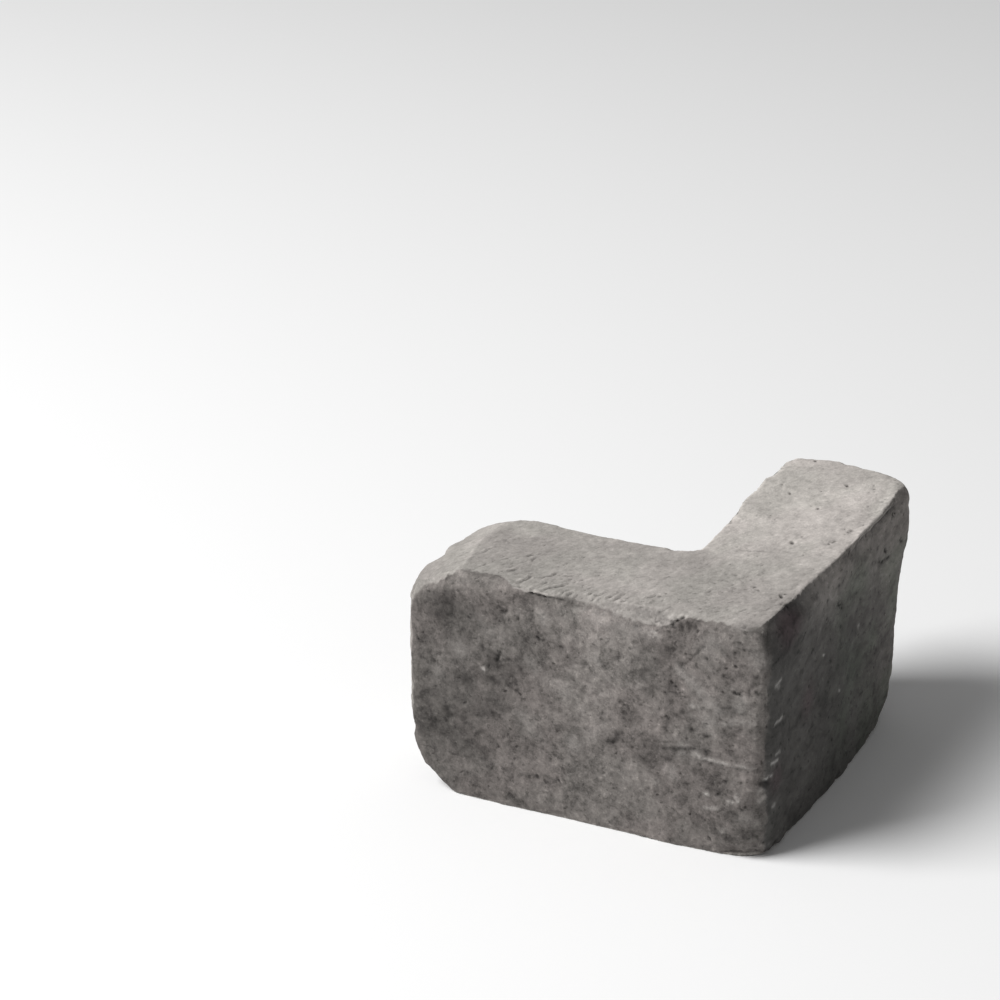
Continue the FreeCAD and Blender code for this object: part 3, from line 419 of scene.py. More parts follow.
# fuller far end, and the top of leg A by its back
P += np.outer(1.5 * bell((34.0, 69.5, 85.0), (13.0, 5.0, 5.0)), (0.0, 0.85, 0.53))
P += np.outer(0.9 * bell((53.0, 69.0, 84.3), (9.0, 4.0, 3.5)), (0.0, 0.35, 0.95))
P += np.outer(1.3 * bell((60.0, 60.0, 84.0), (6.0, 8.0, 4.0)), (0.62, 0.45, 0.45))
P += np.outer(2.0 * bell((65.0, 60.5, 70.0), (9.0, 8.0, 9.0)) * (1 - hidden), (0.72, 0.69, 0.0))
rise = ramp(NS[:, 2], 0.2, 0.6) * (1 - back)
P[:, 2] += rise * (0.55 * bell((-44.0, -20.0, 82.0), (13.0, 10.0, 6.0)) + 1.0 * bell((-58.0, -20.0, 77.5), (6.0, 9.0, 6.0))
                   + 0.7 * bell((9.0, -20.0, 82.5), (9.0, 6.0, 5.0)) + 0.8 * bell((16.5, -20.0, 82.0), (4.5, 6.0, 5.0)) + 0.8 * bell((18.0, 40.0, 84.0), (7.0, 19.0, 5.0)) + 0.6 * bell((42.0, 69.0, 85.5), (14.0, 6.0, 5.0)))
P[:, 0] -= (1.0 * bell((17.6, 24.0, 85.0), (3.0, 7.0, 5.0)) + 1.0 * bell((17.6, 53.0, 85.5), (3.0, 11.0, 4.0)) + 0.7 * bell((17.6, 38.0, 85.0), (3.0, 11.0, 4.0))) * (1 - back)
P[:, 0] += 1.1 * bell((62.5, -55.0, 2.5), (5.0, 10.0, 5.0)) * (N0[:, 0] > 0.2)

PS = smoothed(P, pairs, 60)
NS = normals_of(smoothed(P, pairs, 6), faces)
X, Y, Z = P[:, 0], P[:, 1], P[:, 2]
convex = ((P - PS) * NS).sum(1)          # mm, positive along outer edges
top = ramp(NS[:, 2], 0.62, 0.88)
outer = np.clip((1 - top) * (1 - hidden), 0, 1)
skin = 1 - hidden

# drag direction on the top face, across leg A
DRAG = np.array((0.377, 0.926))
U = X * DRAG[0] + Y * DRAG[1]
V = -X * DRAG[1] + Y * DRAG[0]

# ---- edges: worn back towards the smoothed skin, more in some places
wear = np.clip(0.22 + 0.55 * perlin(P / 11.0, 3) + 0.3 * perlin(P / 4.5, 4), 0.0, 1.0)
wear *= ramp(convex, 0.12, 0.55) * (1 - 0.75 * hidden)
wear *= 1 - 0.75 * ramp(Z, 79, 82) * ramp(X, 56, 59)
by_back = np.maximum(ramp(-np.abs(Y - BACK_A_Y), -5, -2) * (X < 19), ramp(-np.abs(X - BACK_B_X), -5, -2) * (Y > -20))
wear *= (1 - 0.85 * by_back) * (1 - 0.75 * ramp(-Z, -12, -6) * ramp(X, 48, 54) * (Y < 10))
wear = np.maximum(wear, 0.95 * bell((-43, -68.5, 80.5), (13, 4, 4)) * ramp(convex, 0.05, 0.3))
wear = np.maximum(wear, 0.85 * bell((54, -68, 81.5), (10, 5, 4)) * ramp(convex, 0.05, 0.3))
D = (PS - P) * (wear * 0.6)[:, None]

# ---- planes that knock bits off the edges: point, outward direction, depth, reach
CHOPS = [
    ((15.0, -69.5, 82.0), (0.0, -0.78, 0.62), 1.5, 11.0),
    ((22.5, -69.8, 81.5), (0.15, -0.85, 0.50), 2.0, 6.0),
    ((2.0, -69.5, 82.0), (-0.1, -0.70, 0.70), 0.9, 8.0),
    ((-52.0, -69.0, 79.5), (-0.25, -0.80, 0.55), 0.7, 6.0),
    ((60.0, 68.0, 78.0), (0.60, 0.75, 0.20), 0.7, 7.0),
    ((59.5, -68.8, 2.5), (0.10, -0.76, -0.64), 1.6, 8.0),
    ((-65.2, -69.6, 24.0), (-0.90, -0.35, -0.25), 1.3, 5.0),
    ((-64.0, -68.0, 30.0), (-0.70, -0.70, 0.05), 0.6, 9.0),
    ((17.6, 33.0, 84.8), (-0.7, 0.1, 0.70), 0.6, 3.5),
    ((17.6, 52.0, 84.5), (-0.65, 0.0, 0.76), 0.25, 6.0),
    ((-65.2, -49.0, 72.0), (-0.75, 0.0, 0.66), 0.9, 8.0),
    ((-66.0, -62.0, 66.0), (-0.85, -0.1, 0.52), 0.6, 5.0),
    ((63.2, -68.3, 1.5), (0.40, -0.62, -0.68), 1.9, 5.5),
]
rng = np.random.RandomState(4329)
cand = np.where((convex > 0.5) & (hidden < 0.3) & ~((Z > 78) & (X > 56)))[0]
for i in rng.choice(cand, 80, replace=False):
    m = NS[i] + rng.normal(0, 0.16, 3)
    CHOPS.append((tuple(P[i]), tuple(m / np.linalg.norm(m)), float(rng.uniform(0.10, 0.60)), float(rng.uniform(1.6, 4.5))))
for c, m, depth, reach in CHOPS:
    c, m = np.array(c), np.array(m) / np.linalg.norm(m)
    r2 = ((P - c) ** 2).sum(1)
    sel = np.where(r2 < (1.6 * reach) ** 2)[0]
    if not len(sel):
        continue
    q = P[sel] + D[sel]
    ext = (q - c) @ m
    near = np.argsort(r2[sel])[:30]
    o = ext[near].max() - depth
    s = np.maximum(0, ext - o)
    w = np.exp(-(r2[sel] / reach ** 2) ** 2)
    rough = 1.0 - 0.25 * np.abs(perlin(P[sel] / 1.7, 50))
    D[sel] -= m * (s * w * rough * (1 - 0.8 * hidden[sel]))[:, None]

# ---- relief along the normal
coarse = fbm(P / 8.5, 11, 3, 0.55)
knobs = np.abs(perlin(P / 13.0, 21))
calm = 1 - 0.45 * ramp(NS[:, 0], 0.4, 0.8)
face_h = -0.02 + 0.28 * coarse - 0.25 * knobs + calm * (0.17 * perlin(P / 2.4, 12) + 0.13 * perlin(P / 1.3, 13))
PT = np.stack([V, U * 0.62, Z], 1)
top_h = 0.13 * perlin(P / 7.0, 15) + 0.16 * perlin(PT / 2.4, 16) + 0.11 * perlin(PT / 1.25, 17)
drag = perlin(np.stack([U / 5.5, V / 1.25, Z / 30.0], 1), 18)
drag_amt = ramp(-Y, 25, 62) * ramp(-X, -50, -10) * 0.6 + 0.35
top_h += 0.11 * drag * drag_amt
top_h *= 1 - 0.25 * ramp(Y, -30, 0)
hid_h = -0.16 + 0.10 * perlin(P / 5.0, 22) + 0.08 * perlin(P / 2.6, 19) + 0.04 * perlin(P / 1.3, 20)
h = outer * face_h + top * skin * top_h + hidden * hid_h

# small shallow pits: many on the faces, few on the top
wp = P * (1 + 0.0) + 0.7 * np.stack([perlin(P / 2.1, 63), perlin(P / 2.1, 64), perlin(P / 2.1, 65)], 1)
d1, w1 = spots(wp / 3.6, 61, 0.6)
r1 = (0.35 + 0.65 * w1) / 3.6
pits = (1 - ramp(d1, r1 * 0.2, r1)) * (0.25 + 0.75 * w1)
d2, w2 = spots(wp / 9.0, 62, 0.35)
r2_ = (0.5 + 0.8 * w2) / 9.0
pits2 = (1 - ramp(d2, r2_ * 0.2, r2_)) * (0.4 + 0.6 * w2)
smooth_spot = bell((-63.5, -45.5, 74.0), (7.0, 8.0, 6.0))
h *= 1 - 0.75 * smooth_spot
pit_amt = (outer * 1.0 + top * skin * 0.3) * (1 - smooth_spot)
h -= pit_amt * (0.40 * pits + 0.5 * pits2) + hidden * 0.45 * np.maximum(0, pits2 - 0.45)
# the pits are also painted darker, as the shade inside them
pit_dark = np.clip(pit_amt * (0.42 * pits + 0.5 * pits2), 0, 1)

# ---- marks ----
dark = pit_dark.copy()
pale = np.zeros(len(P))
broad = np.zeros(len(P))
ragged = 1 + 0.38 * perlin(P / 1.15, 75) + 0.25 * perlin(P / 2.6, 76)
broken = np.clip(0.72 + 0.9 * perlin(P / 1.05, 77), 0.1, 1.15)
SIGHT = np.array((-0.445, 0.896))
for x0, y0, z0, x1, y1, z1, r, tone, depth in MARKS:
    a, b = np.array((x0, y0, z0)), np.array((x1, y1, z1))
    pad = 3.2 * r
    lo3, hi3 = np.minimum(a, b) - pad, np.maximum(a, b) + pad
    sel = np.where((X > lo3[0]) & (X < hi3[0]) & (Y > lo3[1]) & (Y < hi3[1]) & (Z > lo3[2]) & (Z < hi3[2]) & (hidden < 0.5))[0]
    if not len(sel):
        continue
    ab = b - a
    q = P[sel] - a
    u = np.clip(q @ ab / max(ab @ ab, 1e-9), 0, 1)
    off = q - u[:, None] * ab
    nn = NS[sel]
    off = off - 0.75 * (off * nn).sum(1)[:, None] * nn
    dist = np.linalg.norm(off, axis=1)
    if r <= 0.62 and depth >= 0.5 and z0 > 81:         # an air hole in the top
        m = P[sel, :2] - (a + b)[:2] / 2
        s1, s2 = m @ SIGHT, m @ np.array((SIGHT[1], -SIGHT[0]))
        k = np.exp(-(s1 / (1.9 * r)) ** 2 - (s2 / (0.95 * r)) ** 2)
    else:
        if not (tone > 0.38 and x0 > 60):
            dist = dist * ragged[sel]
        k = np.exp(-(dist / max(r, 0.5)) ** 2)
        if r < 1.6 and not (tone > 0.38 and x0 > 60):
            k = k * broken[sel]
            depth *= 0.8
    # a dark tone on a recessed mark partly paints the shade inside it, partly the stone's own dark spots
    if r >= 3.4:
        broad[sel] += tone * k
    elif tone < 0:
        dark[sel] = np.maximum(dark[sel], -tone * k)
    else:
        pale[sel] = np.maximum(pale[sel], tone * k)
    h[sel] -= depth * k

extra = []
for _ in range(70):
    extra.append((rng.uniform(-43, 46), rng.uniform(-66, -34), rng.normal(0, 12), rng.uniform(1.5, 4.5), rng.uniform(0.5, 0.8), rng.uniform(0.10, 0.26)))
for _ in range(26):
    extra.append((rng.uniform(-26, 22), rng.uniform(-66.5, -54), rng.normal(4, 20), rng.uniform(1.4, 3.0), rng.uniform(0.5, 0.75), rng.uniform(0.22, 0.42)))
nick = np.random.RandomState(991)
for _ in range(80):
    extra.append((nick.uniform(-48, 42), nick.uniform(-66, -28), nick.normal(0, 38), nick.uniform(0.7, 1.7), nick.uniform(0.4, 0.7), nick.uniform(0.10, 0.26)))
base_a = math.degrees(math.atan2(DRAG[1], DRAG[0]))
strokes = [((x0 + x1) / 2, (y0 + y1) / 2, math.degrees(math.atan2(y1 - y0, x1 - x0)) - base_a, math.hypot(x1 - x0, y1 - y0) + 0.8, w, dp)
           for x0, y0, x1, y1, w, dp in GROOVES] + extra
for gx, gy, off, ln, wd, dp in strokes:
    a = math.radians(base_a + off)
    sel = np.where((np.abs(X - gx) < ln + 2) & (np.abs(Y - gy) < ln + 2) & (Z > 76) & (NS[:, 2] > 0.2))[0]
    dx, dy = X[sel] - gx, Y[sel] - gy
    u = dx * math.cos(a) + dy * math.sin(a)
    v = -dx * math.sin(a) + dy * math.cos(a) + 0.25 * np.sin(u * 1.1 + gx)
    along = np.exp(-(u / (ln * 0.52)) ** 4) * (0.30 + 0.72 * broken[sel])
    cut = np.exp(-(v / (wd * 0.62)) ** 2)
    rim = np.exp(-((v - wd * 1.1) / (wd * 0.7)) ** 2)
    h[sel] += along * dp * (-0.78 * cut + 0.48 * rim)
    # the groove floor is painted darker as shade and the raised rim beside it paler as a painted highlight
    dark[sel] = np.maximum(dark[sel], 0.14 * along * cut * broken[sel] * min(1.0, dp * 1.3))
    pale[sel] = np.maximum(pale[sel], 0.36 * along * rim * broken[sel] * min(1.0, dp * 1.3))

# small holes in the top, painted dark inside as shade
for _ in range(40):
    px, py = rng.uniform(20, 61), rng.uniform(-60, 68)
    r, dp = rng.uniform(0.25, 0.45), rng.uniform(0.15, 0.35)
    sel = np.where((np.abs(X - px) < 2) & (np.abs(Y - py) < 2) & (Z > 78))[0]
    k = np.exp(-((X[sel] - px) ** 2 + ((Y[sel] - py) / 1.4) ** 2) / r ** 2)
    h[sel] -= dp * k
    dark[sel] = np.maximum(dark[sel], 0.40 * k)

# lip along leg A's top edge, with the face cut back under it
lip = ramp(X, -29, -15) * ramp(-X, -8, 4) * ramp(-Y, 65.0, 68.0)
under = lip * ramp(80.6 - Z, -0.3, 1.3) * (1 - ramp(80.6 - Z, 2.5, 10))
D[:, 1] += 0.85 * under
over = ramp(X, -22, -18.5) * ramp(-X, 2, 8) * ramp(-Y, 66.0, 68.5) * ramp(Z - 80.6, 0, 0.5)
D[:, 1] -= 0.4 * over
D[:, 2] += 0.2 * over

# a bite out of the same edge nearer the corner
bite = bell((36.3, -70.0, 80.0), (4.8, 3.2, 2.4)) * (1 + 0.5 * perlin(P / 2.2, 71))
D += np.outer(bite, (0.0, 1.7, -0.6))
D += np.outer(bell((30.0, -70.2, 76.6), (3.0, 3.0, 2.0)) * (1 + 0.5 * perlin(P / 1.8, 72)), (0.0, 0.8, 0.0))

# ---- put it together
Q = P + D
NQ = normals_of(smoothed(Q, pairs, 2), faces)
Q = Q + NQ * h[:, None]
lo = np.array(cad_lo) * 1000 + 0.004
hi = np.array(cad_hi) * 1000 - 0.004
Q = np.clip(Q, lo, hi)
flat_a = back * (np.abs(Y - BACK_A_Y) < 0.8) > 0.5
flat_b = back * (np.abs(X - BACK_B_X) < 0.8) > 0.5
Q[:, 1] = np.where(flat_a, np.minimum(Q[:, 1], BACK_A_Y), Q[:, 1])
Q[:, 0] = np.where(flat_b, np.maximum(Q[:, 0], BACK_B_X), Q[:, 0])

# cavity: how far each point lies under its surroundings
QS = smoothed(Q, pairs, 6)
cavity = np.clip(((QS - Q) * NQ).sum(1) / 0.22, -1, 1)

me.vertices.foreach_set("co", (Q / 1000.0).astype(np.float32).ravel())
me.update()

# ---- where the face pigment lies.  It ends along these lines (x, y, z).
FRONT_LINE = np.array([
    (-64.2, -68.7, 68.6), (-61.6, -69.2, 73.3), (-58.3, -69.0, 76.6), (-53.8, -69.7, 78.9), (-50.5, -68.2, 81.9),
    (-47.4, -66.8, 82.8), (-43.5, -66.0, 83.0), (-37.8, -65.8, 82.8), (-32.2, -65.2, 82.8), (-28.3, -67.8, 82.2),
    (-25.7, -69.3, 81.2), (-22.7, -69.5, 81.0), (-18.5, -69.7, 80.6), (-13.0, -69.7, 80.7), (-7.2, -69.3, 81.2),
    (-1.9, -69.2, 81.0), (3.2, -69.2, 80.8), (12.0, -69.9, 79.0), (22.4, -69.9, 78.3), (27.4, -70.0, 78.3),
    (31.2, -69.7, 79.7), (32.1, -68.8, 81.1), (34.2, -67.2, 82.1), (39.0, -66.7, 82.3), (41.5, -67.0, 82.2),
    (48.2, -65.3, 82.4), (51.5, -65.7, 82.2), (55.2, -65.6, 82.0), (57.5, -64.2, 82.0), (59.2, -61.8, 82.0), (61.0, -58.5, 82.0), (64.0, -55.0, 82.0)])
fy = np.interp(X, FRONT_LINE[:, 0], FRONT_LINE[:, 1])
fz = np.interp(X, FRONT_LINE[:, 0], FRONT_LINE[:, 2])
fray = (0.9 * perlin(P / 2.6, 91) + 0.7 * perlin(P / 1.2, 92)) * (1 + 0.7 * bell((-44, -68, 81), (13, 5, 6)) + 0.8 * bell((50, -67, 81), (12, 6, 5)))
s_front = (fy - Y) + (fz - Z) + fray
# below leg A's top edge near its middle the pigment is thinner and its edge softer: a lighter band, partly the face's
# own tone, partly painted light where the rounded edge turns to the lamp
thin = bell((0.0, -70.0, 78.0), (22.0, 9.0, 7.0))
soft = 1 + 2.4 * thin + 2.4 * bell((-59, -69, 73), (8, 6, 8)) + 1.2 * bell((-42, -67, 81), (12, 6, 5)) + 1.3 * bell((52, -67, 81), (12, 6, 5))
s_front = s_front + 1.7 * thin
faint = np.maximum(0.35 * bell((-44, -68, 79), (15, 8, 9)), bell((56, -67, 79), (10, 8, 9)))
pig_front = (1 - 0.34 * thin * ramp(s_front, 0, 3)) * (1 - 0.42 * faint * (1 - ramp(s_front, 0.5, 6.0))) * ramp(s_front / soft, -0.9, 1.1) * (Y < -40) * ramp(X + 0.8 * perlin(P / 3.0, 94), -65.4, -63.2)
s_right = (X - np.interp(Y, CRISP[:, 0], CRISP[:, 1])) + (np.interp(Y, ky, kz) - Z) + 0.35 * fray
pig_right = ramp(s_right, 0.1, 0.9) * (X > 45) * ramp(-NS[:, 2], -0.93, -0.80)
pig = np.maximum(pig_front * (1 - ramp(X, 60.3, 61.5)), pig_right * ramp(NS[:, 0], 0.15, 0.4))
pig = np.maximum(pig, ramp(-NS[:, 1], 0.6, 0.8) * (Y < -60) * ramp(X, 55, 60) * (Z < 80))
pig = np.maximum(pig, 0.75 * ramp(NS[:, 1], 0.4, 0.8) * (Y > 50) * (Z < 83))
pig = np.maximum(pig, 0.9 * ramp(-NS[:, 2] + 0.2 * perlin(P / 4.0, 98), 0.1, 0.6) * ramp(X + 2.5 * perlin(P / 5.0, 99), -68, -57))
pig *= 1 - hidden

# the return is painted darker than the front past the vertical edge, and the end of leg B with it: partly its own face
# colour, partly painted shade on the side turned from the lamp
CORNER = np.array([(0, 28.3), (11.7, 28.3), (15.7, 29.0), (23.6, 28.4), (29.8, 27.2), (39.2, 27.5), (43.6, 27.7), (51.5, 28.0), (59.9, 27.9), (70.4, 27.9), (86, 27.9)])
across = 0.8956 * X + 0.4448 * Y
turn = across - np.interp(Z, CORNER[:, 0], CORNER[:, 1]) + 0.7 * perlin(P / 3.5, 93) + 0.4 * perlin(P / 1.4, 95)
blur = np.exp(-((Z - 77) / 6.0) ** 2)
rightness = ramp(turn + 0.6 * blur, -0.9 - 2.6 * blur, 1.1 + 2.8 * blur) * (X > 40) * ramp(NS[:, 0], 0.05, 0.5)
end_b = ramp(NS[:, 1], 0.4, 0.8) * (Y > 50)
rightness = np.maximum(rightness, end_b * 0.8)

# the return is painted lighter towards its top and towards leg B's far end: partly its own tone, partly painted light
# where more light comes up from the floor
lift = ramp(Z, 42, 84) * ramp(Y, -48, 5) * 0.75 + 0.72 * ramp(Z, 66, 80) * ramp(Y, -45, -15) + 0.67 * ramp(Y, 5, 55)
lift += 0.18 * bell((61.5, -49, 80), (5, 6, 5))
lift -= 0.08 * bell((62, -54, 76), (8, 12, 9)) - 0.30 * bell((62.5, -57, 78.5), (5, 7, 6)) + 0.08 * bell((65, -40, 72), (6, 9, 8))
tint = (1 - 0.85 * ramp(Z, 62, 78)) * (0.15 + 0.75 * ramp(Y, -30, 30)) * (0.55 + 0.75 * perlin(P / 14.0, 96)) + 0.5 * bell((64, 12, 70), (8, 12, 9)) - 0.9 * (bell((63, -48, 76), (8, 10, 7)) + 0.8 * bell((64, -60, 27), (8, 6, 7)) + 0.7 * bell((64, -30, 42), (8, 7, 8)))
tint = np.where(np.maximum(rightness, 0) > 0.02, tint, 0.0) * (1 - 0.75 * ramp(NS[:, 1], 0.3, 0.7))

broad -= 0.24 * (1 - ramp(X, -52, 2)) * ramp(-Y, 50, 60) * ramp(-Z, -84, -70)
broad -= 0.08 * bell((56, -70, 52), (8, 8, 24)) + 0.11 * bell((-17, -70, 53), (5, 8, 5)) + 0.08 * bell((30, -70, 71), (7, 8, 5))
broad += 0.09 * bell((0, -70, 68), (7, 8, 6)) + 0.10 * bell((24, -70, 35), (9, 8, 6))
broad += 0.05 * bell((8, -70, 55), (22, 8, 22)) - 0.12 * bell((44, -70, 14), (24, 8, 16))

# painted shade over the bevel along leg A's top edge and around the bite
broad -= 0.24 * bell((10, -68.8, 80.8), (17, 4.0, 3.2)) * (1 - pig) + 0.16 * bell((27.5, -68.0, 81.0), (5.5, 4.0, 2.6)) * (Z > 78.5) + 0.22 * bell((28.7, -67.6, 81.4), (3.4, 3.0, 2.4)) + 0.07 * bell((5, -70, 77), (6, 5, 4))
lift -= 0.16 * ramp(turn, 0, 1.5) * (1 - ramp(turn, 4, 14))

broad += 0.15 * perlin(P / 5.5, 101) * ramp(X, -5, 20) * ramp(-Y, 62, 67) * (1 - top) + 0.10 * perlin(P / 9.0, 102) * top * (X > 10)

# the bare top: on leg A's end facet a band along the ridge is lighter, partly the cleaner surface and partly a painted
# highlight, and the rest of the facet darker; the top is lighter out along leg B
xr = np.interp(Y, RIDGE[:, 0], RIDGE[:, 1])
facet = ramp(xr - X + 0.5 * perlin(P / 2.5, 97), -0.5, 0.7) * (Z > 60)
bright = facet * (-0.42 + 0.62 * np.exp(-((xr - X) / 7.0) ** 2)) + 0.85 * ramp(Y, -38, 14) * ramp(X, 2, 15) * top
bright -= (1 - facet) * (0.50 * bell((-36, -45, 84), (20, 18, 8)) + 0.30 * bell((-10, -58, 84), (12, 10, 8)))
bright -= 0.45 * bell((31, -64, 82.7), (4.5, 3.5, 3)) + 0.32 * bell((-35, -58, 83), (8, 6, 5)) + 0.28 * bell((-13, -68.8, 81.6), (10, 2.5, 2.5))
bright += 0.42 * bell((56, 33, 84.5), (9, 15, 5))
bright -= 0.30 * bell((15, -24, 83), (5, 5, 5)) + 0.58 * bell((21, -25, 84), (17, 10, 8)) + 0.40 * bell((-4, -66.5, 82.5), (16, 4, 4))
bright -= 0.20 * ramp(-Y, 54, 66) * (X < 24) * top
bright -= 0.25 * bell((46, -48, 83), (22, 16, 8)) + 0.15 * bell((-30, -62, 83), (18, 8, 8))

fields = {
    "pigment": pig,
    "rightness": rightness,
    "cavity": cavity,
    "dark": np.clip(dark, 0, 1),
    "pale": np.clip(pale, 0, 1),
    "broad": np.clip(broad * 1.12, -1, 1),
    "lift": np.clip(lift, -1, 1.5),
    "tint": np.clip(tint, -1, 1),
    "bright": np.clip(bright, -1, 1.2),
    "edge": np.clip(ramp(convex, 0.15, 1.1), 0, 1),
    "raw": hidden,
    "level": top * (1 - hidden) * (1 - pig),
}

# ---- thin the mesh to its budget, then carry the fields over
stone = bpy.data.objects.new("stone_skin", me)
scene.collection.objects.link(stone)
tris = 2 * len(me.polygons)
if tris > MAX_TRIS:
    dec = stone.modifiers.new("thin", "DECIMATE")
    dec.ratio = MAX_TRIS / tris
    dec.use_collapse_triangulate = True
    dg = bpy.context.evaluated_depsgraph_get()
    thin = bpy.data.meshes.new_from_object(stone.evaluated_get(dg))
    stone.modifiers.clear()
    stone.data = thin
    kd = KDTree(len(Q))
    for i, c in enumerate(Q):
        kd.insert(c, i)
    kd.balance()
    T = coords(thin)
    idx = np.array([kd.find(c)[1] for c in T])
    T = np.clip(T, lo, hi)
    thin.vertices.foreach_set("co", (T / 1000.0).astype(np.float32).ravel())
else:
    thin = me
    idx = np.arange(len(Q))
thin.name = "stone_skin"
for name, v in fields.items():
    at = thin.attributes.get(name) or thin.attributes.new(name, "FLOAT", "POINT")
    at.data.foreach_set("value", v[idx].astype(np.float32))
thin.polygons.foreach_set("use_smooth", np.ones(len(thin.polygons), bool))
thin.update()
print("stone triangles", sum(len(p.vertices) - 2 for p in thin.polygons), "from", tris)


# ---------------------------------------------------------------- material
class Nodes:
    def __init__(self, name):
        self.mat = bpy.data.materials.new(name)
        self.mat.use_nodes = True
        self.t = self.mat.node_tree
        self.t.nodes.clear()

    def new(self, kind, **props):
        n = self.t.nodes.new(kind)
        for k, v in props.items():
            setattr(n, k, v)
        return n

    def link(self, a, b):
        self.t.links.new(a, b)

    def put(self, sock, v):
        if isinstance(v, bpy.types.NodeSocket):
            self.link(v, sock)
        else:
            sock.default_value = v

    def math(self, op, a, b=None, c=None, clamp=False):
        n = self.new("ShaderNodeMath", operation=op, use_clamp=clamp)
        for s, v in zip(n.inputs, (a, b, c)):
            if v is not None:
                self.put(s, v)
        return n.outputs[0]

    def mix(self, f, a, b, blend="MIX"):
        n = self.new("ShaderNodeMix", data_type="RGBA", blend_type=blend)
        self.put(n.inputs[0], f)
        self.put(n.inputs[6], a)
        self.put(n.inputs[7], b)
        return n.outputs[2]

    def blend(self, f, a, b):
        n = self.new("ShaderNodeMix", data_type="FLOAT")
        self.put(n.inputs[0], f)
        self.put(n.inputs[2], a)
        self.put(n.inputs[3], b)
        return n.outputs[0]

    def noise(self, vec, scale, detail=3.0, rough=0.55, distort=0.0):
        n = self.new("ShaderNodeTexNoise")
        n.noise_dimensions = "3D"
        self.link(vec, n.inputs["Vector"])
        n.inputs["Scale"].default_value = scale
        n.inputs["Detail"].default_value = detail
        n.inputs["Roughness"].default_value = rough
        n.inputs["Distortion"].default_value = distort
        return n.outputs[0]

    def band(self, v, a, b, lo=0.0, hi=1.0, smooth=True):
        n = self.new("ShaderNodeMapRange", interpolation_type="SMOOTHSTEP" if smooth else "LINEAR", clamp=True)
        self.put(n.inputs[0], v)
        for i, x in zip((1, 2, 3, 4), (a, b, lo, hi)):
            n.inputs[i].default_value = x
        return n.outputs[0]

    def field(self, name):
        n = self.new("ShaderNodeAttribute", attribute_type="GEOMETRY", attribute_name=name)
        return n.outputs["Fac"]

    def scaled(self, colour, factor):
        n = self.new("ShaderNodeVectorMath", operation="SCALE")
        self.put(n.inputs[0], colour)
        self.put(n.inputs[3], factor)
        return n.outputs[0]


def shade(v, red=1.0, blue=1.0):
    return (v * red, v, v * blue, 1.0)


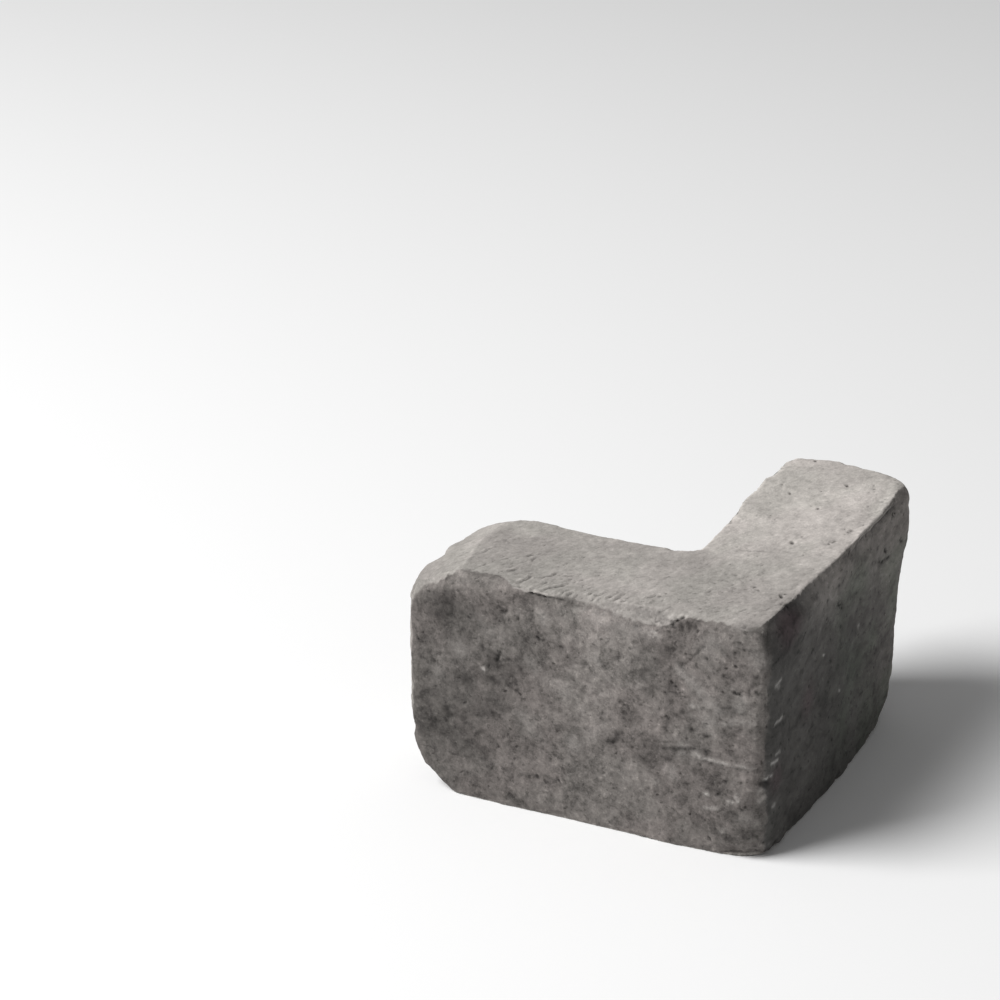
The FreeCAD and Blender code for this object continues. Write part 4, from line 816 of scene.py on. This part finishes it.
def stone_material():
    m = Nodes("cast_stone")
    tc = m.new("ShaderNodeTexCoord")
    mp = m.new("ShaderNodeMapping", vector_type="POINT")
    mp.inputs["Scale"].default_value = (1000.0, 1000.0, 1000.0)   # the patterns below count in millimetres
    m.link(tc.outputs["Object"], mp.inputs["Vector"])
    vec = mp.outputs[0]

    pig, rgt, cav = m.field("pigment"), m.field("rightness"), m.field("cavity")
    dark, pale, broad = m.field("dark"), m.field("pale"), m.field("broad")
    lift, tint, bright, edge, raw = m.field("lift"), m.field("tint"), m.field("bright"), m.field("edge"), m.field("raw")

    longer = m.new("ShaderNodeMapping", vector_type="POINT")
    longer.inputs["Scale"].default_value = (1000.0, 620.0, 1000.0)   # the return's mottles run along it
    m.link(tc.outputs["Object"], longer.inputs["Vector"])
    pick = m.new("ShaderNodeMix", data_type="VECTOR")
    m.link(m.math("GREATER_THAN", m.field("rightness"), 0.5), pick.inputs[0])
    m.link(vec, pick.inputs[4])
    m.link(longer.outputs[0], pick.inputs[5])
    vec = pick.outputs[1]
    dragged = m.new("ShaderNodeMapping", vector_type="TEXTURE")        # on the top they run with the tool
    dragged.inputs["Rotation"].default_value = (0.0, 0.0, math.atan2(-DRAG[0], DRAG[1]))
    dragged.inputs["Scale"].default_value = (0.001, 0.0016, 0.001)
    m.link(tc.outputs["Object"], dragged.inputs["Vector"])
    pick = m.new("ShaderNodeMix", data_type="VECTOR")
    m.link(m.math("GREATER_THAN", m.field("level"), 0.5), pick.inputs[0])
    m.link(vec, pick.inputs[4])
    m.link(dragged.outputs[0], pick.inputs[5])
    vec = pick.outputs[1]

    grain = m.noise(vec, 0.62, 3.0, 0.62)          # sand, about 1.6 mm
    fine = m.noise(vec, 1.7, 3.0, 0.65)            # finer sand
    blot = m.noise(vec, 0.25, 3.0, 0.6, 0.6)       # blotches, about 4 mm
    cloud = m.noise(vec, 0.075, 3.0, 0.55, 0.4)    # patches, about 13 mm
    wide = m.noise(vec, 0.030, 2.0, 0.5, 0.3)      # slow drift over the block
    specks = m.noise(vec, 0.50, 2.5, 0.55)         # dark flecks
    sparks = m.noise(vec, 0.80, 2.0, 0.5)          # pale flecks
    hue = m.noise(vec, 0.050, 2.0, 0.5, 0.2)

    # pigment breaks up towards the bare surface
    p = m.math("ADD", pig, m.math("MULTIPLY", m.math("SUBTRACT", grain, 0.5), 0.7))
    p = m.math("ADD", p, m.math("MULTIPLY", m.math("SUBTRACT", blot, 0.5), 0.5))
    p = m.band(p, 0.22, 0.78)

    # base colours
    bare = m.mix(m.band(hue, 0.38, 0.62), shade(0.340, 1.078, 0.940), shade(0.340, 1.058, 0.928))
    bare = m.scaled(bare, m.math("ADD", 1.0, m.math("MULTIPLY", bright, 0.30)))
    front = m.mix(m.band(hue, 0.38, 0.62), shade(0.142, 1.115, 0.938), shade(0.146, 1.09, 0.932))
    # the return's darker colours are partly painted shade on the side turned from the lamp
    base_r = m.mix(m.band(tint, 0.0, 0.9), shade(0.092, 1.04, 0.95), shade(0.097, 0.94, 0.87))
    base_r = m.mix(m.band(tint, 0.0, -0.8), base_r, shade(0.073, 1.27, 1.03))
    base_r = m.scaled(base_r, m.math("ADD", 1.0, m.math("MULTIPLY", lift, 1.15)))
    # towards its top and far end the return turns lighter and warmer, partly painted light coming up from the floor
    warm_top = m.mix(m.math("MULTIPLY", lift, 0.6, clamp=True), base_r, m.mix(0.65, base_r, shade(0.165, 1.13, 0.92)))
    front = m.mix(rgt, front, warm_top)
    col = m.mix(p, bare, front)

    # mottling, stronger on the pigmented faces
    def swing(tex, on_top, on_face, on_side=0.8):
        return m.math("MULTIPLY", m.math("SUBTRACT", tex, 0.5), m.blend(p, on_top, m.blend(rgt, on_face, on_face * on_side)))

    f = m.math("ADD", 1.0, swing(cloud, 0.55, 1.25, 1.0))
    f = m.math("ADD", f, swing(blot, 0.45, 1.55))
    f = m.math("ADD", f, swing(grain, 0.68, 1.20, 0.55))
    f = m.math("ADD", f, swing(fine, 0.60, 0.90, 0.42))
    f = m.math("ADD", f, swing(wide, 0.30, 0.40))
    f = m.math("MULTIPLY", f, m.math("SUBTRACT", 1.0, m.math("MULTIPLY", m.band(specks, 0.40, 0.30), m.blend(p, 0.12, 0.36))))
    f = m.math("MULTIPLY", f, m.math("ADD", 1.0, m.math("MULTIPLY", m.band(sparks, 0.62, 0.72), m.blend(p, 0.12, 0.30))))
    f = m.math("MULTIPLY", f, m.math("ADD", 1.0, broad))
    f = m.math("MAXIMUM", f, 0.25)

    # hollows are painted darker as shade, high grains are rubbed pale
    f = m.math("MULTIPLY", f, m.band(cav, 0.03, 0.9, 1.0, 0.55))
    f = m.math("MULTIPLY", f, m.band(cav, -0.08, -0.9, 1.0, 1.28))
    col = m.scaled(col, f)

    # worn edges show the pale body
    e = m.math("MULTIPLY", edge, m.band(m.noise(vec, 0.16, 3.0, 0.6), 0.42, 0.72))
    e = m.math("MULTIPLY", e, m.math("SUBTRACT", 1.0, m.math("MULTIPLY", rgt, 0.75)))
    col = m.mix(m.math("MULTIPLY", e, 0.30), col, shade(0.27, 1.08, 0.93))

    # the marks: the dark ones include painted shade in pits, holes, grooves, the bite, a nick and the line under the
    # lip, and the pale ones painted highlights on groove rims, beside the stone's own stains, flecks and scratches
    lightc = m.mix(rgt, shade(0.40, 1.06, 0.94), shade(0.85, 1.03, 0.96))
    col = m.mix(m.math("MULTIPLY", pale, m.band(fine, 0.25, 0.6, 0.6, 1.0)), col, lightc)
    col = m.scaled(col, m.math("SUBTRACT", 1.0, m.math("MULTIPLY", dark, 0.80)))

    # back and bed: plain cast cement
    rawc = m.scaled(shade(0.30, 1.06, 0.93)[:3], m.math("ADD", 1.0, m.math("ADD", m.math("MULTIPLY", m.math("SUBTRACT", cloud, 0.5), 0.8), m.math("MULTIPLY", m.math("SUBTRACT", grain, 0.5), 0.9))))
    col = m.mix(raw, col, rawc)

    b = m.new("ShaderNodeBsdfPrincipled")
    m.link(col, b.inputs["Base Color"])
    m.link(m.band(grain, 0.3, 0.7, 0.84, 0.97), b.inputs["Roughness"])
    b.inputs["Specular IOR Level"].default_value = 0.2

    hsum = m.math("ADD", m.math("MULTIPLY", grain, 0.55), m.math("MULTIPLY", fine, 0.45))
    hsum = m.math("ADD", hsum, m.math("MULTIPLY", m.noise(vec, 3.4, 2.0, 0.6), 0.22))
    hsum = m.math("MULTIPLY", hsum, m.math("SUBTRACT", 1.0, m.math("MULTIPLY", rgt, 0.45)))
    bump = m.new("ShaderNodeBump")
    bump.inputs["Strength"].default_value = 0.6
    bump.inputs["Distance"].default_value = 0.00048
    m.link(hsum, bump.inputs["Height"])
    m.link(bump.outputs[0], b.inputs["Normal"])
    out = m.new("ShaderNodeOutputMaterial")
    m.link(b.outputs[0], out.inputs["Surface"])
    return m.mat


stone.data.materials.clear()
stone.data.materials.append(stone_material())
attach(stone, "root")
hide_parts("corner_stone")


# ---------------------------------------------------------------- floor and light
def plain(name, colour, rough):
    mat = bpy.data.materials.new(name)
    mat.use_nodes = True
    b = mat.node_tree.nodes["Principled BSDF"]
    b.inputs["Base Color"].default_value = colour
    b.inputs["Roughness"].default_value = rough
    b.inputs["Specular IOR Level"].default_value = 0.1
    return mat


fm = bpy.data.meshes.new("floor")
s = 9.0
fm.from_pydata([(-s, -s, 0), (s, -s, 0), (s, s, 0), (-s, s, 0)], [], [(0, 1, 2, 3)])
fm.materials.append(plain("floor", (0.86, 0.86, 0.86, 1.0), 0.9))
floor = bpy.data.objects.new("floor", fm)
scene.collection.objects.link(floor)


def area(name, where, size, power, colour=(1, 1, 1)):
    d = bpy.data.lights.new(name, "AREA")
    d.shape = "SQUARE"
    d.size = size
    d.energy = power
    d.color = colour
    o = bpy.data.objects.new(name, d)
    o.location = where
    o.rotation_mode = "QUATERNION"
    o.rotation_quaternion = (Vector((0, 0, 0.04)) - Vector(where)).to_track_quat("-Z", "Y")
    scene.collection.objects.link(o)


key_dir = Vector((-0.52, -0.44, 0.73)).normalized()
area("key", tuple(key_dir * 2.4), 1.3, 74.0)

w = bpy.data.worlds.new("world")
w.use_nodes = True
w.node_tree.nodes["Background"].inputs[0].default_value = (1.0, 1.0, 1.0, 1.0)
w.node_tree.nodes["Background"].inputs[1].default_value = 0.22
scene.world = w

scene.view_settings.view_transform = "Standard"
scene.view_settings.look = "None"
scene.view_settings.exposure = 0.0
scene.view_settings.gamma = 1.0

bpy.context.view_layer.update()
